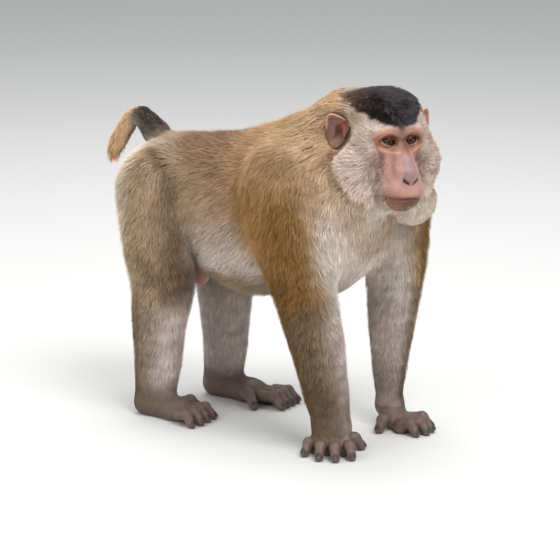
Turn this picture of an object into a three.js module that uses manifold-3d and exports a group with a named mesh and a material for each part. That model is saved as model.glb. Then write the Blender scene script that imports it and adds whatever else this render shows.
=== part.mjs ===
// Adult male southern pig-tailed macaque, standing on all fours, at life size.
// Millimetres, +Z up. The animal faces -Y and its left side is +X. The head is turned to its right.
// The origin is on the floor under the middle of the animal. The outline is the outline of the coat.
// The body is one smooth implicit surface, parted by thin cuts.
import * as THREE from 'three';
import { mergeVertices } from 'three/addons/utils/BufferGeometryUtils.js';
import Module from 'manifold-3d';

const wasm = await Module();
wasm.setup();

// ---------------------------------------------------------------- driving dimensions
const GAP = 0.3;                      // clearance between neighbouring pieces
const WELD = 0.02;                    // corners closer than this are one
const SEAT = 1.4;                     // clearance of a rounded piece in its faceted seat
const FLOOR = 0;                      // level of the flats under hands and feet
const HEAD_TURN = 34;                 // degrees, head turned to the animal's right
const HEAD_AT = [-43.3, -230.8, 428.3];  // point midway between the eyes
const EYE_SPREAD = 15.5;              // from the midline to an eye
const EYE_RADIUS = 10;
const EYE_DEPTH = 9.5;                // eye centre behind the point midway between the eyes
const LIMB_FLATNESS = { arm: 1.1, leg: 1.2 };
const CELL = {                        // size of the facets on each piece
  face: 8.6, head: 17, body: 25, tail: 13, palm: 15, sac: 11,
};
const BLEND = { trunk: 40, belly: 50, neck: 36, arm: 46, leg: 30, extremity: 12, head: 18, tail: 10 };

const COLOURS = {
  cap: 0x3a2f2d, coat: 0x9b7d55, flank: 0xa88c70, belly: 0xcdbda4, limb: 0x94806a, shin: 0xab9a86,
  tail: 0x8a6f50, skin: 0x6b5a57, face: 0xc4917a, ear: 0xa77a6b, eye: 0x5d4226, nail: 0x3b3230,
  sac: 0xb0846f,
};

// ---------------------------------------------------------------- small vector tools
const sub = (a, b) => [a[0] - b[0], a[1] - b[1], a[2] - b[2]];
const dot = (a, b) => a[0] * b[0] + a[1] * b[1] + a[2] * b[2];
const mix = (a, b, t) => [0, 1, 2].map((i) => a[i] + (b[i] - a[i]) * t);
const norm = (a) => Math.hypot(a[0], a[1], a[2]);
const unit = (a) => a.map((v) => v / norm(a));

// ---------------------------------------------------------------- implicit shapes
// Each shape gives a distance: negative inside, positive outside.
function blend(a, b, k) {
  const h = Math.max(k - Math.abs(a - b), 0) / k;
  return Math.min(a, b) - (h * h * k) / 4;
}

function carve(a, b, k) {
  return -blend(-a, b, k);
}

function ball(p, centre, radii) {
  const q = sub(p, centre);
  const k0 = Math.hypot(q[0] / radii[0], q[1] / radii[1], q[2] / radii[2]);
  const k1 = Math.hypot(q[0] / radii[0] ** 2, q[1] / radii[1] ** 2, q[2] / radii[2] ** 2);
  return (k0 * (k0 - 1)) / (k1 + 1e-9);
}

function cone(p, a, b, ra, rb, flat = [1, 1, 1]) {
  const ab = sub(b, a);
  const t = Math.min(1, Math.max(0, dot(sub(p, a), ab) / dot(ab, ab)));
  const off = sub(p, mix(a, b, t));
  const reach = Math.hypot(off[0] * flat[0], off[1] * flat[1], off[2] * flat[2]);
  return (reach - (ra + (rb - ra) * t)) / Math.max(...flat);
}

// A limb: a run of tapered lengths through joints, each joint [x, y, z, radius].
function limb(p, joints, flat) {
  let d = Infinity;
  for (let i = 0; i + 1 < joints.length; i += 1) {
    const [a, b] = [joints[i], joints[i + 1]];
    d = Math.min(d, cone(p, a, b, a[3], b[3], flat));
  }
  return d;
}

// ---------------------------------------------------------------- head frame: left, forward, up
const TURN = (HEAD_TURN * Math.PI) / 180;
const AHEAD = [-Math.sin(TURN), -Math.cos(TURN), 0];
const LEFT = [Math.cos(TURN), -Math.sin(TURN), 0];
const UP = [0, 0, 1];

function toHead(p) {
  const q = sub(p, HEAD_AT);
  return [dot(q, LEFT), dot(q, AHEAD), q[2]];
}

function fromHead(q) {
  return [0, 1, 2].map((i) => HEAD_AT[i] + q[0] * LEFT[i] + q[1] * AHEAD[i] + q[2] * UP[i]);
}

// ---------------------------------------------------------------- the animal's measures
const RIGHT_ARM = [
  [-68, -62, 350, 60], [-82, -80, 285, 55], [-86, -106, 215, 46],
  [-87, -128, 145, 40], [-87, -144, 76, 33], [-88, -154, 38, 26],
];
const LEFT_ARM = [
  [75, -110, 348, 58], [88, -134, 294, 55], [88, -139, 228, 45],
  [79.5, -138, 150, 35.5], [73, -139, 80, 26], [65, -144, 34, 17.5],
];
const RIGHT_LEG = [
  [-50, 174, 316, 67], [-62, 164, 252, 59], [-70, 150, 188, 50],
  [-73, 156, 130, 42], [-74, 157, 80, 38], [-76, 160, 40, 32],
];
const LEFT_LEG = [
  [50, 176, 316, 68], [60, 156, 252, 58], [62, 142, 188, 49],
  [60, 139, 130, 41], [58, 137, 80, 36], [57, 140, 40, 31],
];
const TAIL = [
  [0, 196, 366, 22], [0, 222, 394, 17], [0, 240, 409, 14.5], [0, 258, 407, 13],
  [0, 272, 389, 12.5], [-2, 287, 364, 12], [-3, 293, 354, 9],
];
const SAC = [[-6, 134, 232, 9], [-8, 132, 212, 11], [-8, 131, 190, 12.5]];

// Fingers and toes: knuckle and tip of each digit on the floor plan, the thumb or big toe last.
const KNUCKLE_HEIGHT = 14;
const MIDDLE_HEIGHT = 17;
const TIP_HEIGHT = 5;
const RIGHT_HAND = {
  palm: [[-88, -152, 30, 24], [-96, -156, 15, 20]],
  ridge: [[-106, -138, 8, 11], [-94, -180, 8, 11]],
  digits: [
    [-105, -137, -134, -141], [-108, -153, -140, -169], [-104, -168, -132, -190],
    [-94, -182, -112, -203], [-78, -168, -62, -184],
  ],
};
const LEFT_HAND = {
  palm: [[65, -146, 28, 18.5], [58, -160, 12, 17]],
  ridge: [[42, -182, 7, 10.5], [70, -176, 7, 10.5]],
  digits: [
    [73, -176, 80, -203], [62, -183, 66, -214], [51, -185, 50, -217],
    [40, -183, 34, -210], [44, -157, 20, -158],
  ],
};
const RIGHT_FOOT = {
  palm: [[-84, 168, 15, 19], [-84, 116, 13, 17]],
  ridge: [[-84, 116, 12, 17], [-84, 92, 9.5, 14]],
  digits: [
    [-107, 96, -113, 68], [-93, 98, -95, 65], [-79, 100, -77, 68], [-65, 102, -59, 71],
    [-64, 128, -34, 118],
  ],
};
const LEFT_FOOT = {
  palm: [[56, 152, 15, 19], [56, 92, 14, 18]],
  ridge: [[56, 92, 13, 18], [60, 58, 9.5, 14]],
  digits: [
    [82, 65, 81, 26], [68, 64, 66, 24], [54, 63, 51, 22], [40, 62, 36, 20],
    [42, 96, 15, 54],
  ],
};
const DIGIT_RADII = [8.2, 7.4, 6.5];
const THUMB_RADII = [9.5, 8.4, 7.2];

function trunk(p) {
  let d = ball(p, [0, -72, 314], [86, 94, 120]);
  d = blend(d, ball(p, [0, -52, 383], [60, 106, 50]), BLEND.trunk);
  d = blend(d, ball(p, [0, 34, 286], [84, 120, 108]), BLEND.belly);
  d = blend(d, ball(p, [0, 106, 335], [64, 100, 65]), BLEND.trunk);
  return blend(d, ball(p, [0, 184, 322], [66, 58, 60]), BLEND.trunk);
}

function neck(p) {
  const nape = cone(p, [0, -70, 376], [-14, -132, 430], 60, 57.5);
  return blend(nape, cone(p, [0, -110, 340], [-24, -172, 366], 66, 48), 20);
}

function palm(p, part) {
  const [a, b] = part.palm;
  const [c, e] = part.ridge;
  return blend(cone(p, a, b, a[3], b[3], [0.9, 1, 1.05]), cone(p, c, e, c[3], e[3], [0.85, 1, 1.1]), 12);
}

function head(p) {
  const q = toHead(p);
  let d = ball(q, [1, -62, 10], [58, 62, 53]);                     // braincase under the cap
  for (const side of [-1, 1]) {
    d = blend(d, ball(q, [side * 41 + 1, -52, -30], [32, 42, 42]), 22);   // cheek ruff
  }
  d = blend(d, cone(q, [34, -50, -60], [43, -62, -94], 28, 34), 22);   // fall of the ruff to the left shoulder
  d = blend(d, ball(q, [0, -44, -56], [44, 44, 38]), 22);          // throat
  d = blend(d, ball(q, [0, -20, -14], [41, 24, 36]), 10);          // cheekbones
  d = blend(d, cone(q, [0, -24, -12], [0, -2, -58], 22, 23.5), 12);    // upper jaw
  d = blend(d, cone(q, [-25, -9, 12], [25, -9, 12], 10, 10), 8);   // brow ridge
  d = blend(d, cone(q, [0, -2, 2], [0, 26, -40], 9, 14, [0.8, 1, 1]), 10);  // bridge of the nose
  d = blend(d, ball(q, [0, 6, -60], [26, 34, 24]), 10);            // muzzle
  d = blend(d, ball(q, [0, 2, -75], [24, 27, 19]), 8);             // lower lip and chin
  for (const side of [-1, 1]) {
    d = carve(d, ball(q, [side * EYE_SPREAD, 1, -1], [11, 8, 7]), 5);     // eye hollows
  }
  return d;
}

function body(p) {
  let d = blend(trunk(p), neck(p), BLEND.neck);
  const arm = [LIMB_FLATNESS.arm, 1, 1];
  const leg = [LIMB_FLATNESS.leg, 1, 1];
  for (const joints of [RIGHT_ARM, LEFT_ARM]) {
    d = blend(d, limb(p, joints, arm), BLEND.arm);
  }
  for (const joints of [RIGHT_LEG, LEFT_LEG]) {
    d = blend(d, limb(p, joints, leg), BLEND.leg);
  }
  for (const part of [RIGHT_HAND, LEFT_HAND, RIGHT_FOOT, LEFT_FOOT]) {
    d = blend(d, palm(p, part), BLEND.extremity);
  }
  d = blend(d, head(p), BLEND.head);
  for (const side of [-1, 1]) {
    d = carve(d, ball(toHead(p), [side * 68, -60, 6], [25, 24, 28]), 12);   // hollows before the ears
  }
  return blend(d, limb(p, TAIL), BLEND.tail);
}

// ---------------------------------------------------------------- from implicit surface to facets
// Grid lines from lo to hi, the step given by a function of the position.
function gridLines(lo, hi, step) {
  const lines = [lo];
  while (lines[lines.length - 1] < hi) {
    const at = lines[lines.length - 1];
    lines.push(at + step(at));
  }
  return lines;
}

// Surface nets: one vertex in each cell that the surface crosses, one quad across each crossed edge.
function netSurface(field, lines, place = (q) => q) {
  const size = lines.map((axis) => axis.length);
  const id = (i, j, k) => (i * size[1] + j) * size[2] + k;
  const lo = lines.map((axis) => axis[1]);
  const hi = lines.map((axis) => axis[axis.length - 2]);
  const bounded = (q) => {
    const walls = [0, 1, 2].map((a) => Math.max(lo[a] - q[a], q[a] - hi[a]));
    return Math.max(field(place(q)), ...walls);
  };
  const values = new Float64Array(size[0] * size[1] * size[2]);
  for (let i = 0; i < size[0]; i += 1) {
    for (let j = 0; j < size[1]; j += 1) {
      for (let k = 0; k < size[2]; k += 1) {
        values[id(i, j, k)] = bounded([lines[0][i], lines[1][j], lines[2][k]]) || 1e-6;
      }
    }
  }
  const step = [id(1, 0, 0), id(0, 1, 0), id(0, 0, 1)];
  const corners = [0, 1, 2, 3, 4, 5, 6, 7].map((c) => [c >> 2, (c >> 1) & 1, c & 1]);
  const vertexOf = new Map();
  const points = [];
  for (let i = 0; i + 1 < size[0]; i += 1) {
    for (let j = 0; j + 1 < size[1]; j += 1) {
      for (let k = 0; k + 1 < size[2]; k += 1) {
        const at = corners.map((c) => [lines[0][i + c[0]], lines[1][j + c[1]], lines[2][k + c[2]]]);
        const v = corners.map((c) => values[id(i + c[0], j + c[1], k + c[2])]);
        const sum = [0, 0, 0];
        let count = 0;
        for (const [a, b] of CUBE_EDGES) {
          if (v[a] < 0 === v[b] < 0) continue;
          const cross = mix(at[a], at[b], v[a] / (v[a] - v[b]));
          count += 1;
          sum.forEach((s, n) => { sum[n] = s + cross[n]; });
        }
        if (count === 0) continue;
        vertexOf.set(id(i, j, k), points.length);
        points.push(settle(bounded, sum.map((s) => s / count)));
      }
    }
  }
  const triangles = [];
  for (let axis = 0; axis < 3; axis += 1) {
    const [u, w] = [(axis + 1) % 3, (axis + 2) % 3];
    for (const cell of vertexOf.keys()) {
      const inside = values[cell] < 0;
      if (inside === values[cell + step[axis]] < 0) continue;
      const ring = [cell, cell - step[u], cell - step[u] - step[w], cell - step[w]];
      const quad = ring.map((c) => vertexOf.get(c));
      if (!inside) quad.reverse();
      const [a, b, c, d] = quad;
      const far = norm(sub(points[a], points[c])) > norm(sub(points[b], points[d]));
      triangles.push(...(far ? [a, b, d, b, c, d] : [a, b, c, a, c, d]));
    }
  }
  const sides = new Set();
  for (let n = 0; n < triangles.length; n += 1) {
    const next = n % 3 === 2 ? triangles[n - 2] : triangles[n + 1];
    const key = triangles[n] * points.length + next;
    if (sides.has(key)) return null;      // two sheets touch along this edge
    sides.add(key);
  }
  return toSolid(points.map(place), triangles);
}

const CUBE_EDGES = [
  [0, 1], [2, 3], [4, 5], [6, 7], [0, 2], [1, 3], [4, 6], [5, 7], [0, 4], [1, 5], [2, 6], [3, 7],
];

// Bring a vertex onto the surface along the slope of the field.
function settle(field, q) {
  const e = 0.5;
  const slope = [0, 1, 2].map((a) => {
    const ahead = q.map((v, n) => v + (n === a ? e : 0));
    const behind = q.map((v, n) => v - (n === a ? e : 0));
    return (field(ahead) - field(behind)) / (2 * e);
  });
  const steep = dot(slope, slope) + 1e-6;
  const shift = Math.max(-2, Math.min(2, field(q) / steep));
  return q.map((v, n) => v - shift * slope[n]);
}

// A closed surface as a solid, its faces turned outwards.
function toSolid(points, triangles) {
  const volume = (order) => {
    let sum = 0;
    for (let n = 0; n < order.length; n += 3) {
      const [a, b, c] = [points[order[n]], points[order[n + 1]], points[order[n + 2]]];
      sum += a[0] * (b[1] * c[2] - b[2] * c[1]) + a[1] * (b[2] * c[0] - b[0] * c[2])
        + a[2] * (b[0] * c[1] - b[1] * c[0]);
    }
    return sum;
  };
  const outward = volume(triangles) > 0 ? triangles : triangles.slice().reverse();
  return new wasm.Manifold(new wasm.Mesh({
    numProp: 3,
    vertProperties: Float32Array.from(points.flat()),
    triVerts: Uint32Array.from(outward),
  }));
}

// The surface on a grid that is moved a little until the facets form one clean closed body.
function netSolid(field, lo, hi, cell, place) {
  const steps = typeof cell === 'number' ? [0, 1, 2].map(() => () => cell) : cell;
  for (let attempt = 0; attempt < 60; attempt += 1) {
    const nudge = [0.37, 0.61, 0.83].map((v) => (v * attempt) % 1);
    const lines = [0, 1, 2].map((a) => gridLines(lo[a] - nudge[a] * steps[a](lo[a]), hi[a], steps[a]));
    const solid = netSurface(field, lines, place);
    if (solid) return largest(solid);
  }
  throw new Error('no clean surface at this cell size');
}

// ---------------------------------------------------------------- solids from three.js geometry
function solidOf(geometry, matrix) {
  const plain = geometry.index ? geometry.toNonIndexed() : geometry;
  plain.deleteAttribute('normal');
  plain.deleteAttribute('uv');
  if (matrix) plain.applyMatrix4(matrix);
  const merged = mergeVertices(plain, 1e-4);
  return new wasm.Manifold(new wasm.Mesh({
    numProp: 3,
    vertProperties: new Float32Array(merged.attributes.position.array),
    triVerts: new Uint32Array(merged.index.array),
  }));
}

function largest(solid) {
  const parts = solid.decompose();
  return parts.reduce((a, b) => (b.volume() > a.volume() ? b : a));
}

// Keep the side of each plane that its normal points to. A plane is [normal, offset].
function trim(solid, planes, clearance = GAP / 2) {
  return planes.reduce((s, [n, d]) => s.trimByPlane(unit(n), d / norm(n) + clearance), solid);
}

function flip([n, d]) {
  return [n.map((v) => -v), -d];
}

function plane(n, point) {
  return [n, dot(n, point)];
}

// The whole space inside a set of planes, as a solid to take away from a neighbour.
function zone(planes) {
  const all = solidOf(new THREE.BoxGeometry(1200, 1200, 1200));
  return trim(all, planes, -GAP / 2);
}

// ---------------------------------------------------------------- where the body is parted
const HEAD_CUT = plane(AHEAD.map((v, i) => 0.77 * v + 0.64 * UP[i]), fromHead([0, -96, 0]));
const NECK_CUT = plane([0, -0.6, 0.8], [0, -30, 442]);
const CHEST_BELLY = plane([0, -1, 0], [0, 8, 0]);
const BELLY_RUMP = plane([0, -1, -0.25], [0, 112, 300]);
const TAIL_CUT = plane([0, 0.68, 0.73], [0, 217, 389]);
const ARM_CUTS = {
  r: [plane([-1, 0, -0.122], [-36, 0, 200]), plane([0, -1, 0.12], [0, 2, 330])],
  l: [plane([1, 0, -0.122], [38, 0, 200]), plane([0, -1, 0.12], [0, -36, 330])],
};
const SHOULDER_TOP = plane([0, 0, -1], [0, 0, 408]);
const LEG_CUTS = {
  r: [plane([-1, 0, -0.188], [-6, 0, 200]), plane([0, 1, 0], [0, 94, 300])],
  l: [plane([1, 0, -0.188], [6, 0, 200]), plane([0, 1, 0], [0, 90, 300])],
};
const HIP_TOP = plane([0, 0, -1], [0, 0, 366]);
const ELBOW = { r: plane([0, 0.3, 1], [-86, -100, 198]), l: plane([0, 0.1, 1], [84, -137, 196]) };
const KNEE = { r: plane([0, 0.15, 1], [-70, 150, 184]), l: plane([0, 0.15, 1], [62, 142, 184]) };
const WRIST = plane([0, 0, 1], [0, 0, 44]);
const ANKLE = plane([0, 0, 1], [0, 0, 42]);
const GROUND = plane([0, 0, 1], [0, 0, FLOOR]);

// ---------------------------------------------------------------- digits and nails
// One finger or toe: a tapered six-sided tube bent over the middle joint, with rounded ends.
function digitPath([x0, y0, x1, y1], thick) {
  const lift = thick ? 1.5 : 0;
  return [
    [x0, y0, KNUCKLE_HEIGHT + lift],
    [...mix([x0, y0, 0], [x1, y1, 0], 0.6).slice(0, 2), MIDDLE_HEIGHT],
    [x1, y1, TIP_HEIGHT + lift / 2],
  ];
}

function digitSolid(plan, thick) {
  const [a, b, c] = digitPath(plan, thick);
  const radii = thick ? THUMB_RADII : DIGIT_RADII;
  const stations = [
    [a, radii[0], -0.5], [mix(a, b, 0.4), radii[0], 0], [b, radii[1], 0],
    [mix(b, c, 0.75), radii[2] * 1.08, 0], [c, radii[2], 0.7],
  ];
  const sides = 6;
  const points = [];
  stations.forEach(([at, radius, over], n) => {
    const along = unit(n < 2 ? sub(b, a) : n > 2 ? sub(c, b) : sub(c, a));
    const across = unit([-along[1], along[0], 0]);
    const above = [
      across[1] * along[2] - across[2] * along[1],
      across[2] * along[0] - across[0] * along[2],
      across[0] * along[1] - across[1] * along[0],
    ];
    const ring = radius * Math.sqrt(1 - over * over) * 1.08;
    for (let s = 0; s < sides; s += 1) {
      const turn = (2 * Math.PI * (s + 0.5)) / sides;
      points.push([0, 1, 2].map((i) => at[i] + along[i] * over * radius
        + ring * (Math.cos(turn) * across[i] + Math.sin(turn) * above[i])));
    }
  });
  const first = points.length;
  const axis = [unit(sub(b, a)), unit(sub(c, b))];
  points.push(a.map((v, i) => v - axis[0][i] * radii[0]), c.map((v, i) => v + axis[1][i] * radii[2]));
  const triangles = [];
  const last = stations.length - 1;
  for (let s = 0; s < sides; s += 1) {
    const t = (s + 1) % sides;
    triangles.push(first, t, s, first + 1, last * sides + s, last * sides + t);
    for (let n = 0; n < last; n += 1) {
      const [p, q, r, w] = [n * sides + s, n * sides + t, (n + 1) * sides + t, (n + 1) * sides + s];
      triangles.push(p, q, r, p, r, w);
    }
  }
  return toSolid(points, triangles);
}

// A nail: a small curved-edged plate lying on the top of the last joint.
function nailSolid(plan, thick, grow) {
  const [, b, c] = digitPath(plan, thick);
  const along = new THREE.Vector3(...unit(sub(c, b)));
  const across = new THREE.Vector3(-along.y, along.x, 0).normalize();
  const above = new THREE.Vector3().crossVectors(across, along).normalize();
  if (above.z < 0) above.negate();
  const side = new THREE.Vector3().crossVectors(along, above);
  const width = (thick ? 5.2 : 4.4) + grow;
  const length = (thick ? 5.6 : 5.0) + grow;
  const outline = new THREE.Shape();
  outline.moveTo(-length, -width);
  outline.lineTo(length, -width * 0.7);
  outline.lineTo(length, width * 0.7);
  outline.lineTo(-length, width);
  outline.closePath();
  const plate = new THREE.ExtrudeGeometry(outline, { depth: 2 + 2 * grow, bevelEnabled: false });
  plate.translate(0, 0, -1 - grow);
  const radius = (thick ? THUMB_RADII : DIGIT_RADII)[2];
  const centre = new THREE.Vector3(...c).addScaledVector(above, radius * 0.86).addScaledVector(along, 1.2);
  const frame = new THREE.Matrix4().makeBasis(along, side.negate(), above).setPosition(centre);
  if (frame.determinant() < 0) throw new Error('nail frame is mirrored');
  return solidOf(plate, frame);
}

// ---------------------------------------------------------------- ears
// A cupped shell: a pointed oval rim, hollow towards the front, thick at the root.
function earSolid(side, grow) {
  const turns = 14;
  const rings = 3;
  const height = 27;
  const breadth = 16.5;
  const points = [];
  const at = (angle, t, face) => {
    const point = 1 + 0.14 * Math.exp(-(((angle - 2.25) / 0.4) ** 2));
    const along = Math.cos(angle) * breadth * (1 + 0.2 * Math.sin(angle)) * point * t;
    const upward = Math.sin(angle) * height * point * t * (Math.sin(angle) < 0 ? 0.9 : 1);
    const cup = 7 * (1 - t * t) + (face > 0 ? 0 : 2.4 + 1.2 * (1 - t * t));
    const scale = 1 + grow / 16;
    return [along * scale, upward * scale, -cup - (face > 0 ? -grow : grow)];
  };
  for (const face of [1, -1]) {
    points.push(at(0, 0, face));
    for (let r = 1; r <= rings; r += 1) {
      for (let s = 0; s < turns; s += 1) {
        points.push(at((2 * Math.PI * s) / turns, r / rings, face));
      }
    }
  }
  const half = 1 + rings * turns;
  const triangles = [];
  for (let s = 0; s < turns; s += 1) {
    const t = (s + 1) % turns;
    triangles.push(0, 1 + s, 1 + t, half, half + 1 + t, half + 1 + s);
    for (let r = 0; r + 1 < rings; r += 1) {
      const [p, q] = [1 + r * turns, 1 + (r + 1) * turns];
      triangles.push(p + s, q + s, q + t, p + s, q + t, p + t);
      triangles.push(half + p + s, half + q + t, half + q + s, half + p + s, half + p + t, half + q + t);
    }
    const rim = 1 + (rings - 1) * turns;
    triangles.push(rim + s, half + rim + s, half + rim + t, rim + s, half + rim + t, rim + t);
  }
  // outward from the head, the cup open towards the front and the side
  const open = unit([side * 0.62, 0.78, 0.1]);
  const rise = [0, 0, 1];
  const ahead = unit([-side * open[1], side * open[0], 0]);
  const root = [side * 58, -78, 5];
  const world = points.map((q) => fromHead([0, 1, 2].map((i) => root[i]
    + q[0] * ahead[i] + q[1] * rise[i] + (q[2] + 5) * open[i])));
  return toSolid(world, triangles);
}

// ---------------------------------------------------------------- the pieces
const group = new THREE.Group();

// A solid's facets with corners closer than WELD joined, so that no sliver is left by the cuts.
function weld(solid) {
  const mesh = solid.getMesh();
  const snapped = Array.from(mesh.vertProperties, (v) => Math.round(v / WELD) * WELD);
  const seen = new Map();
  const points = [];
  const index = [];
  for (let n = 0; n < snapped.length; n += 3) {
    const corner = snapped.slice(n, n + 3);
    const key = corner.map((v) => v.toFixed(3)).join();
    if (!seen.has(key)) {
      seen.set(key, points.length);
      points.push(corner);
    }
    index.push(seen.get(key));
  }
  const faces = new Map();
  for (let n = 0; n < mesh.triVerts.length; n += 3) {
    const face = Array.from(mesh.triVerts.slice(n, n + 3), (v) => index[v]);
    if (new Set(face).size < 3) continue;
    const key = face.slice().sort((a, b) => a - b).join();
    if (faces.has(key)) faces.delete(key);
    else faces.set(key, face);
  }
  return toSolid(points, [...faces.values()].flat());
}

function add(name, solid, colour, roughness = 0.85) {
  const mesh = largest(weld(largest(solid))).getMesh();
  const geometry = new THREE.BufferGeometry();
  geometry.setAttribute('position', new THREE.BufferAttribute(new Float32Array(mesh.vertProperties), 3));
  geometry.setIndex(new THREE.BufferAttribute(new Uint32Array(mesh.triVerts), 1));
  const material = new THREE.MeshStandardMaterial({ color: colour, roughness, metalness: 0 });
  const item = new THREE.Mesh(geometry, material);
  item.name = name;
  group.add(item);
}

function eyeCentre(side) {
  return fromHead([side * EYE_SPREAD, -EYE_DEPTH, 0]);
}

function sphere(centre, radii, segments) {
  const frame = new THREE.Matrix4().makeBasis(
    new THREE.Vector3(...LEFT), new THREE.Vector3(...AHEAD).negate(), new THREE.Vector3(...UP),
  );
  frame.scale(new THREE.Vector3(...radii)).setPosition(...centre);
  return solidOf(new THREE.SphereGeometry(1, segments, Math.round(segments * 0.7)), frame);
}

// head, ears and eyes
const headCells = [
  (at) => (Math.abs(at) < 42 ? CELL.face : CELL.head),
  (at) => (at > -22 ? CELL.face : 1.4 * CELL.head),
  (at) => (at > -98 && at < 22 ? CELL.face : CELL.head),
];
let skull = netSolid(body, [-88, -152, -112], [88, 50, 76], headCells, fromHead);
skull = trim(skull, [HEAD_CUT]);
for (const side of [-1, 1]) {
  const label = side < 0 ? 'r' : 'l';
  const ear = earSolid(side, 0);
  skull = skull.subtract(earSolid(side, GAP));
  skull = skull.subtract(sphere(eyeCentre(side), [1, 1, 1].map(() => EYE_RADIUS + 0.9), 10));
  skull = skull.subtract(sphere(fromHead([side * EYE_SPREAD, 1, -0.5]), [9, 9, 5.6], 10));
  add(`ear_${label}`, ear, COLOURS.ear, 0.7);
  add(`eye_${label}`, sphere(eyeCentre(side), [EYE_RADIUS, EYE_RADIUS, EYE_RADIUS], 10), COLOURS.eye, 0.1);
}
add('head', skull, COLOURS.face);

// neck, chest, belly and rump
const takeLimbs = (solid) => ['r', 'l'].reduce((s, side) => {
  const arm = zone([...ARM_CUTS[side], SHOULDER_TOP]);
  const leg = zone([...LEG_CUTS[side], HIP_TOP]);
  return s.subtract(arm).subtract(leg);
}, solid);
const coat = netSolid(body, [-150, -240, -20], [150, 270, 470], CELL.body);
add('neck', trim(coat, [flip(HEAD_CUT), NECK_CUT]), COLOURS.coat);
const sac = (grow) => netSolid((p) => limb(p, SAC) - grow, [-30, 110, 160], [20, 160, 250], CELL.sac);
const trunkSolid = takeLimbs(trim(coat, [flip(HEAD_CUT), flip(NECK_CUT), flip(TAIL_CUT)]));
add('chest', trim(trunkSolid, [CHEST_BELLY]), COLOURS.coat);
add('belly', trim(trunkSolid, [flip(CHEST_BELLY), BELLY_RUMP]).subtract(sac(SEAT)), COLOURS.belly);
add('rump', trim(trunkSolid, [flip(BELLY_RUMP)]).subtract(sac(SEAT)), COLOURS.flank);
add('scrotum', sac(0), COLOURS.sac, 0.6);
add('tail', trim(netSolid(body, [-40, 190, 330], [40, 320, 440], CELL.tail), [TAIL_CUT]), COLOURS.tail);

// limbs with hands and feet
const FINGERS = ['finger_5', 'finger_4', 'finger_3', 'finger_2', 'thumb'];
const TOES = ['toe_5', 'toe_4', 'toe_3', 'toe_2', 'big_toe'];

function extremity(name, part, box, cut, labels, side) {
  const inner = (p) => blend(body(p), palm(p, part), 1);
  let solid = netSolid(inner, box[0], box[1], CELL.palm);
  solid = trim(solid, [flip(cut)]);
  part.digits.forEach((plan, n) => {
    solid = solid.add(digitSolid(plan, n === 4));
  });
  part.digits.forEach((plan, n) => {
    solid = solid.subtract(nailSolid(plan, n === 4, GAP));
    add(`nail_${labels[n]}_${side}`, nailSolid(plan, n === 4, 0), COLOURS.nail, 0.35);
  });
  add(`${name}_${side}`, trim(solid, [GROUND], 0), COLOURS.skin, 0.75);
}

for (const side of ['r', 'l']) {
  const arm = trim(coat, [...ARM_CUTS[side], SHOULDER_TOP, flip(NECK_CUT)]);
  const leg = trim(coat, [...LEG_CUTS[side], HIP_TOP, flip(TAIL_CUT)]).subtract(sac(SEAT));
  add(`upper_arm_${side}`, trim(arm, [ELBOW[side]]), COLOURS.coat);
  add(`forearm_${side}`, trim(arm, [flip(ELBOW[side]), WRIST]), COLOURS.limb);
  add(`thigh_${side}`, trim(leg, [KNEE[side]]), COLOURS.flank);
  add(`shin_${side}`, trim(leg, [flip(KNEE[side]), ANKLE]), COLOURS.shin);
}
extremity('hand', RIGHT_HAND, [[-150, -215, -26], [-40, -100, 62]], WRIST, FINGERS, 'r');
extremity('hand', LEFT_HAND, [[10, -215, -26], [120, -100, 62]], WRIST, FINGERS, 'l');
extremity('foot', RIGHT_FOOT, [[-140, 40, -26], [-20, 220, 62]], ANKLE, TOES, 'r');
extremity('foot', LEFT_FOOT, [[5, 20, -26], [120, 210, 62]], ANKLE, TOES, 'l');

// The origin is on the floor, under the middle of the animal's overall length and width.
const extent = new THREE.Box3().setFromObject(group, true);
group.position.set(-(extent.min.x + extent.max.x) / 2, -(extent.min.y + extent.max.y) / 2, -FLOOR);

export default group;
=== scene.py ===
"""Adult male southern pig-tailed macaque, a still life-size display model.

One skin is worked out from a smooth body function, and the coat is laid over it in tufts.
Lengths inside the shape functions are millimetres in the animal's own measures, and metres in Blender. The
animal faces -Y, its left is +X and +Z is up. In most functions p is an array of points in these measures, q
the same points in the head's measures (left, forward and up from the middle of the eyes), n the skin's
normals there, and w each part's share of each point.
"""
import math

import bpy
import numpy as np
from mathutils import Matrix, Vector
from mathutils.kdtree import KDTree


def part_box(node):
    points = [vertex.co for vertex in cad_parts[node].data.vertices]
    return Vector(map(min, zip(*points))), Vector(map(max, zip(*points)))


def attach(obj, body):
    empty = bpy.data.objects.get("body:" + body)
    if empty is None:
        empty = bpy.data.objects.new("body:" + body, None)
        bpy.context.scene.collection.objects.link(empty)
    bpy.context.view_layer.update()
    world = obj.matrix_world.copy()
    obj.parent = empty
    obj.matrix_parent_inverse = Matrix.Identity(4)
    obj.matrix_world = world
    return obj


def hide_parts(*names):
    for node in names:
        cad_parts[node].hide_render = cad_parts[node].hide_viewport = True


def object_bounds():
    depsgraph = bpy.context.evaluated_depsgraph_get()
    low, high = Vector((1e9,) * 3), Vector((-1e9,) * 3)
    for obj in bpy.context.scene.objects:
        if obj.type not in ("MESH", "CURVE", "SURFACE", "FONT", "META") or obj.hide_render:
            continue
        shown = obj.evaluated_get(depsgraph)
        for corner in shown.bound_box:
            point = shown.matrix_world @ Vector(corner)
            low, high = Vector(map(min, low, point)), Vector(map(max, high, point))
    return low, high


bl_info = {
    "name": "Pig-tailed macaque display model",
    "version": (1, 0, 0),
    "blender": (4, 5, 0),
    "location": "3D View > Sidebar > Macaque",
    "description": "Builds the skin, coat, eyes, nails and stage of a standing macaque",
    "category": "Object",
}

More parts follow.
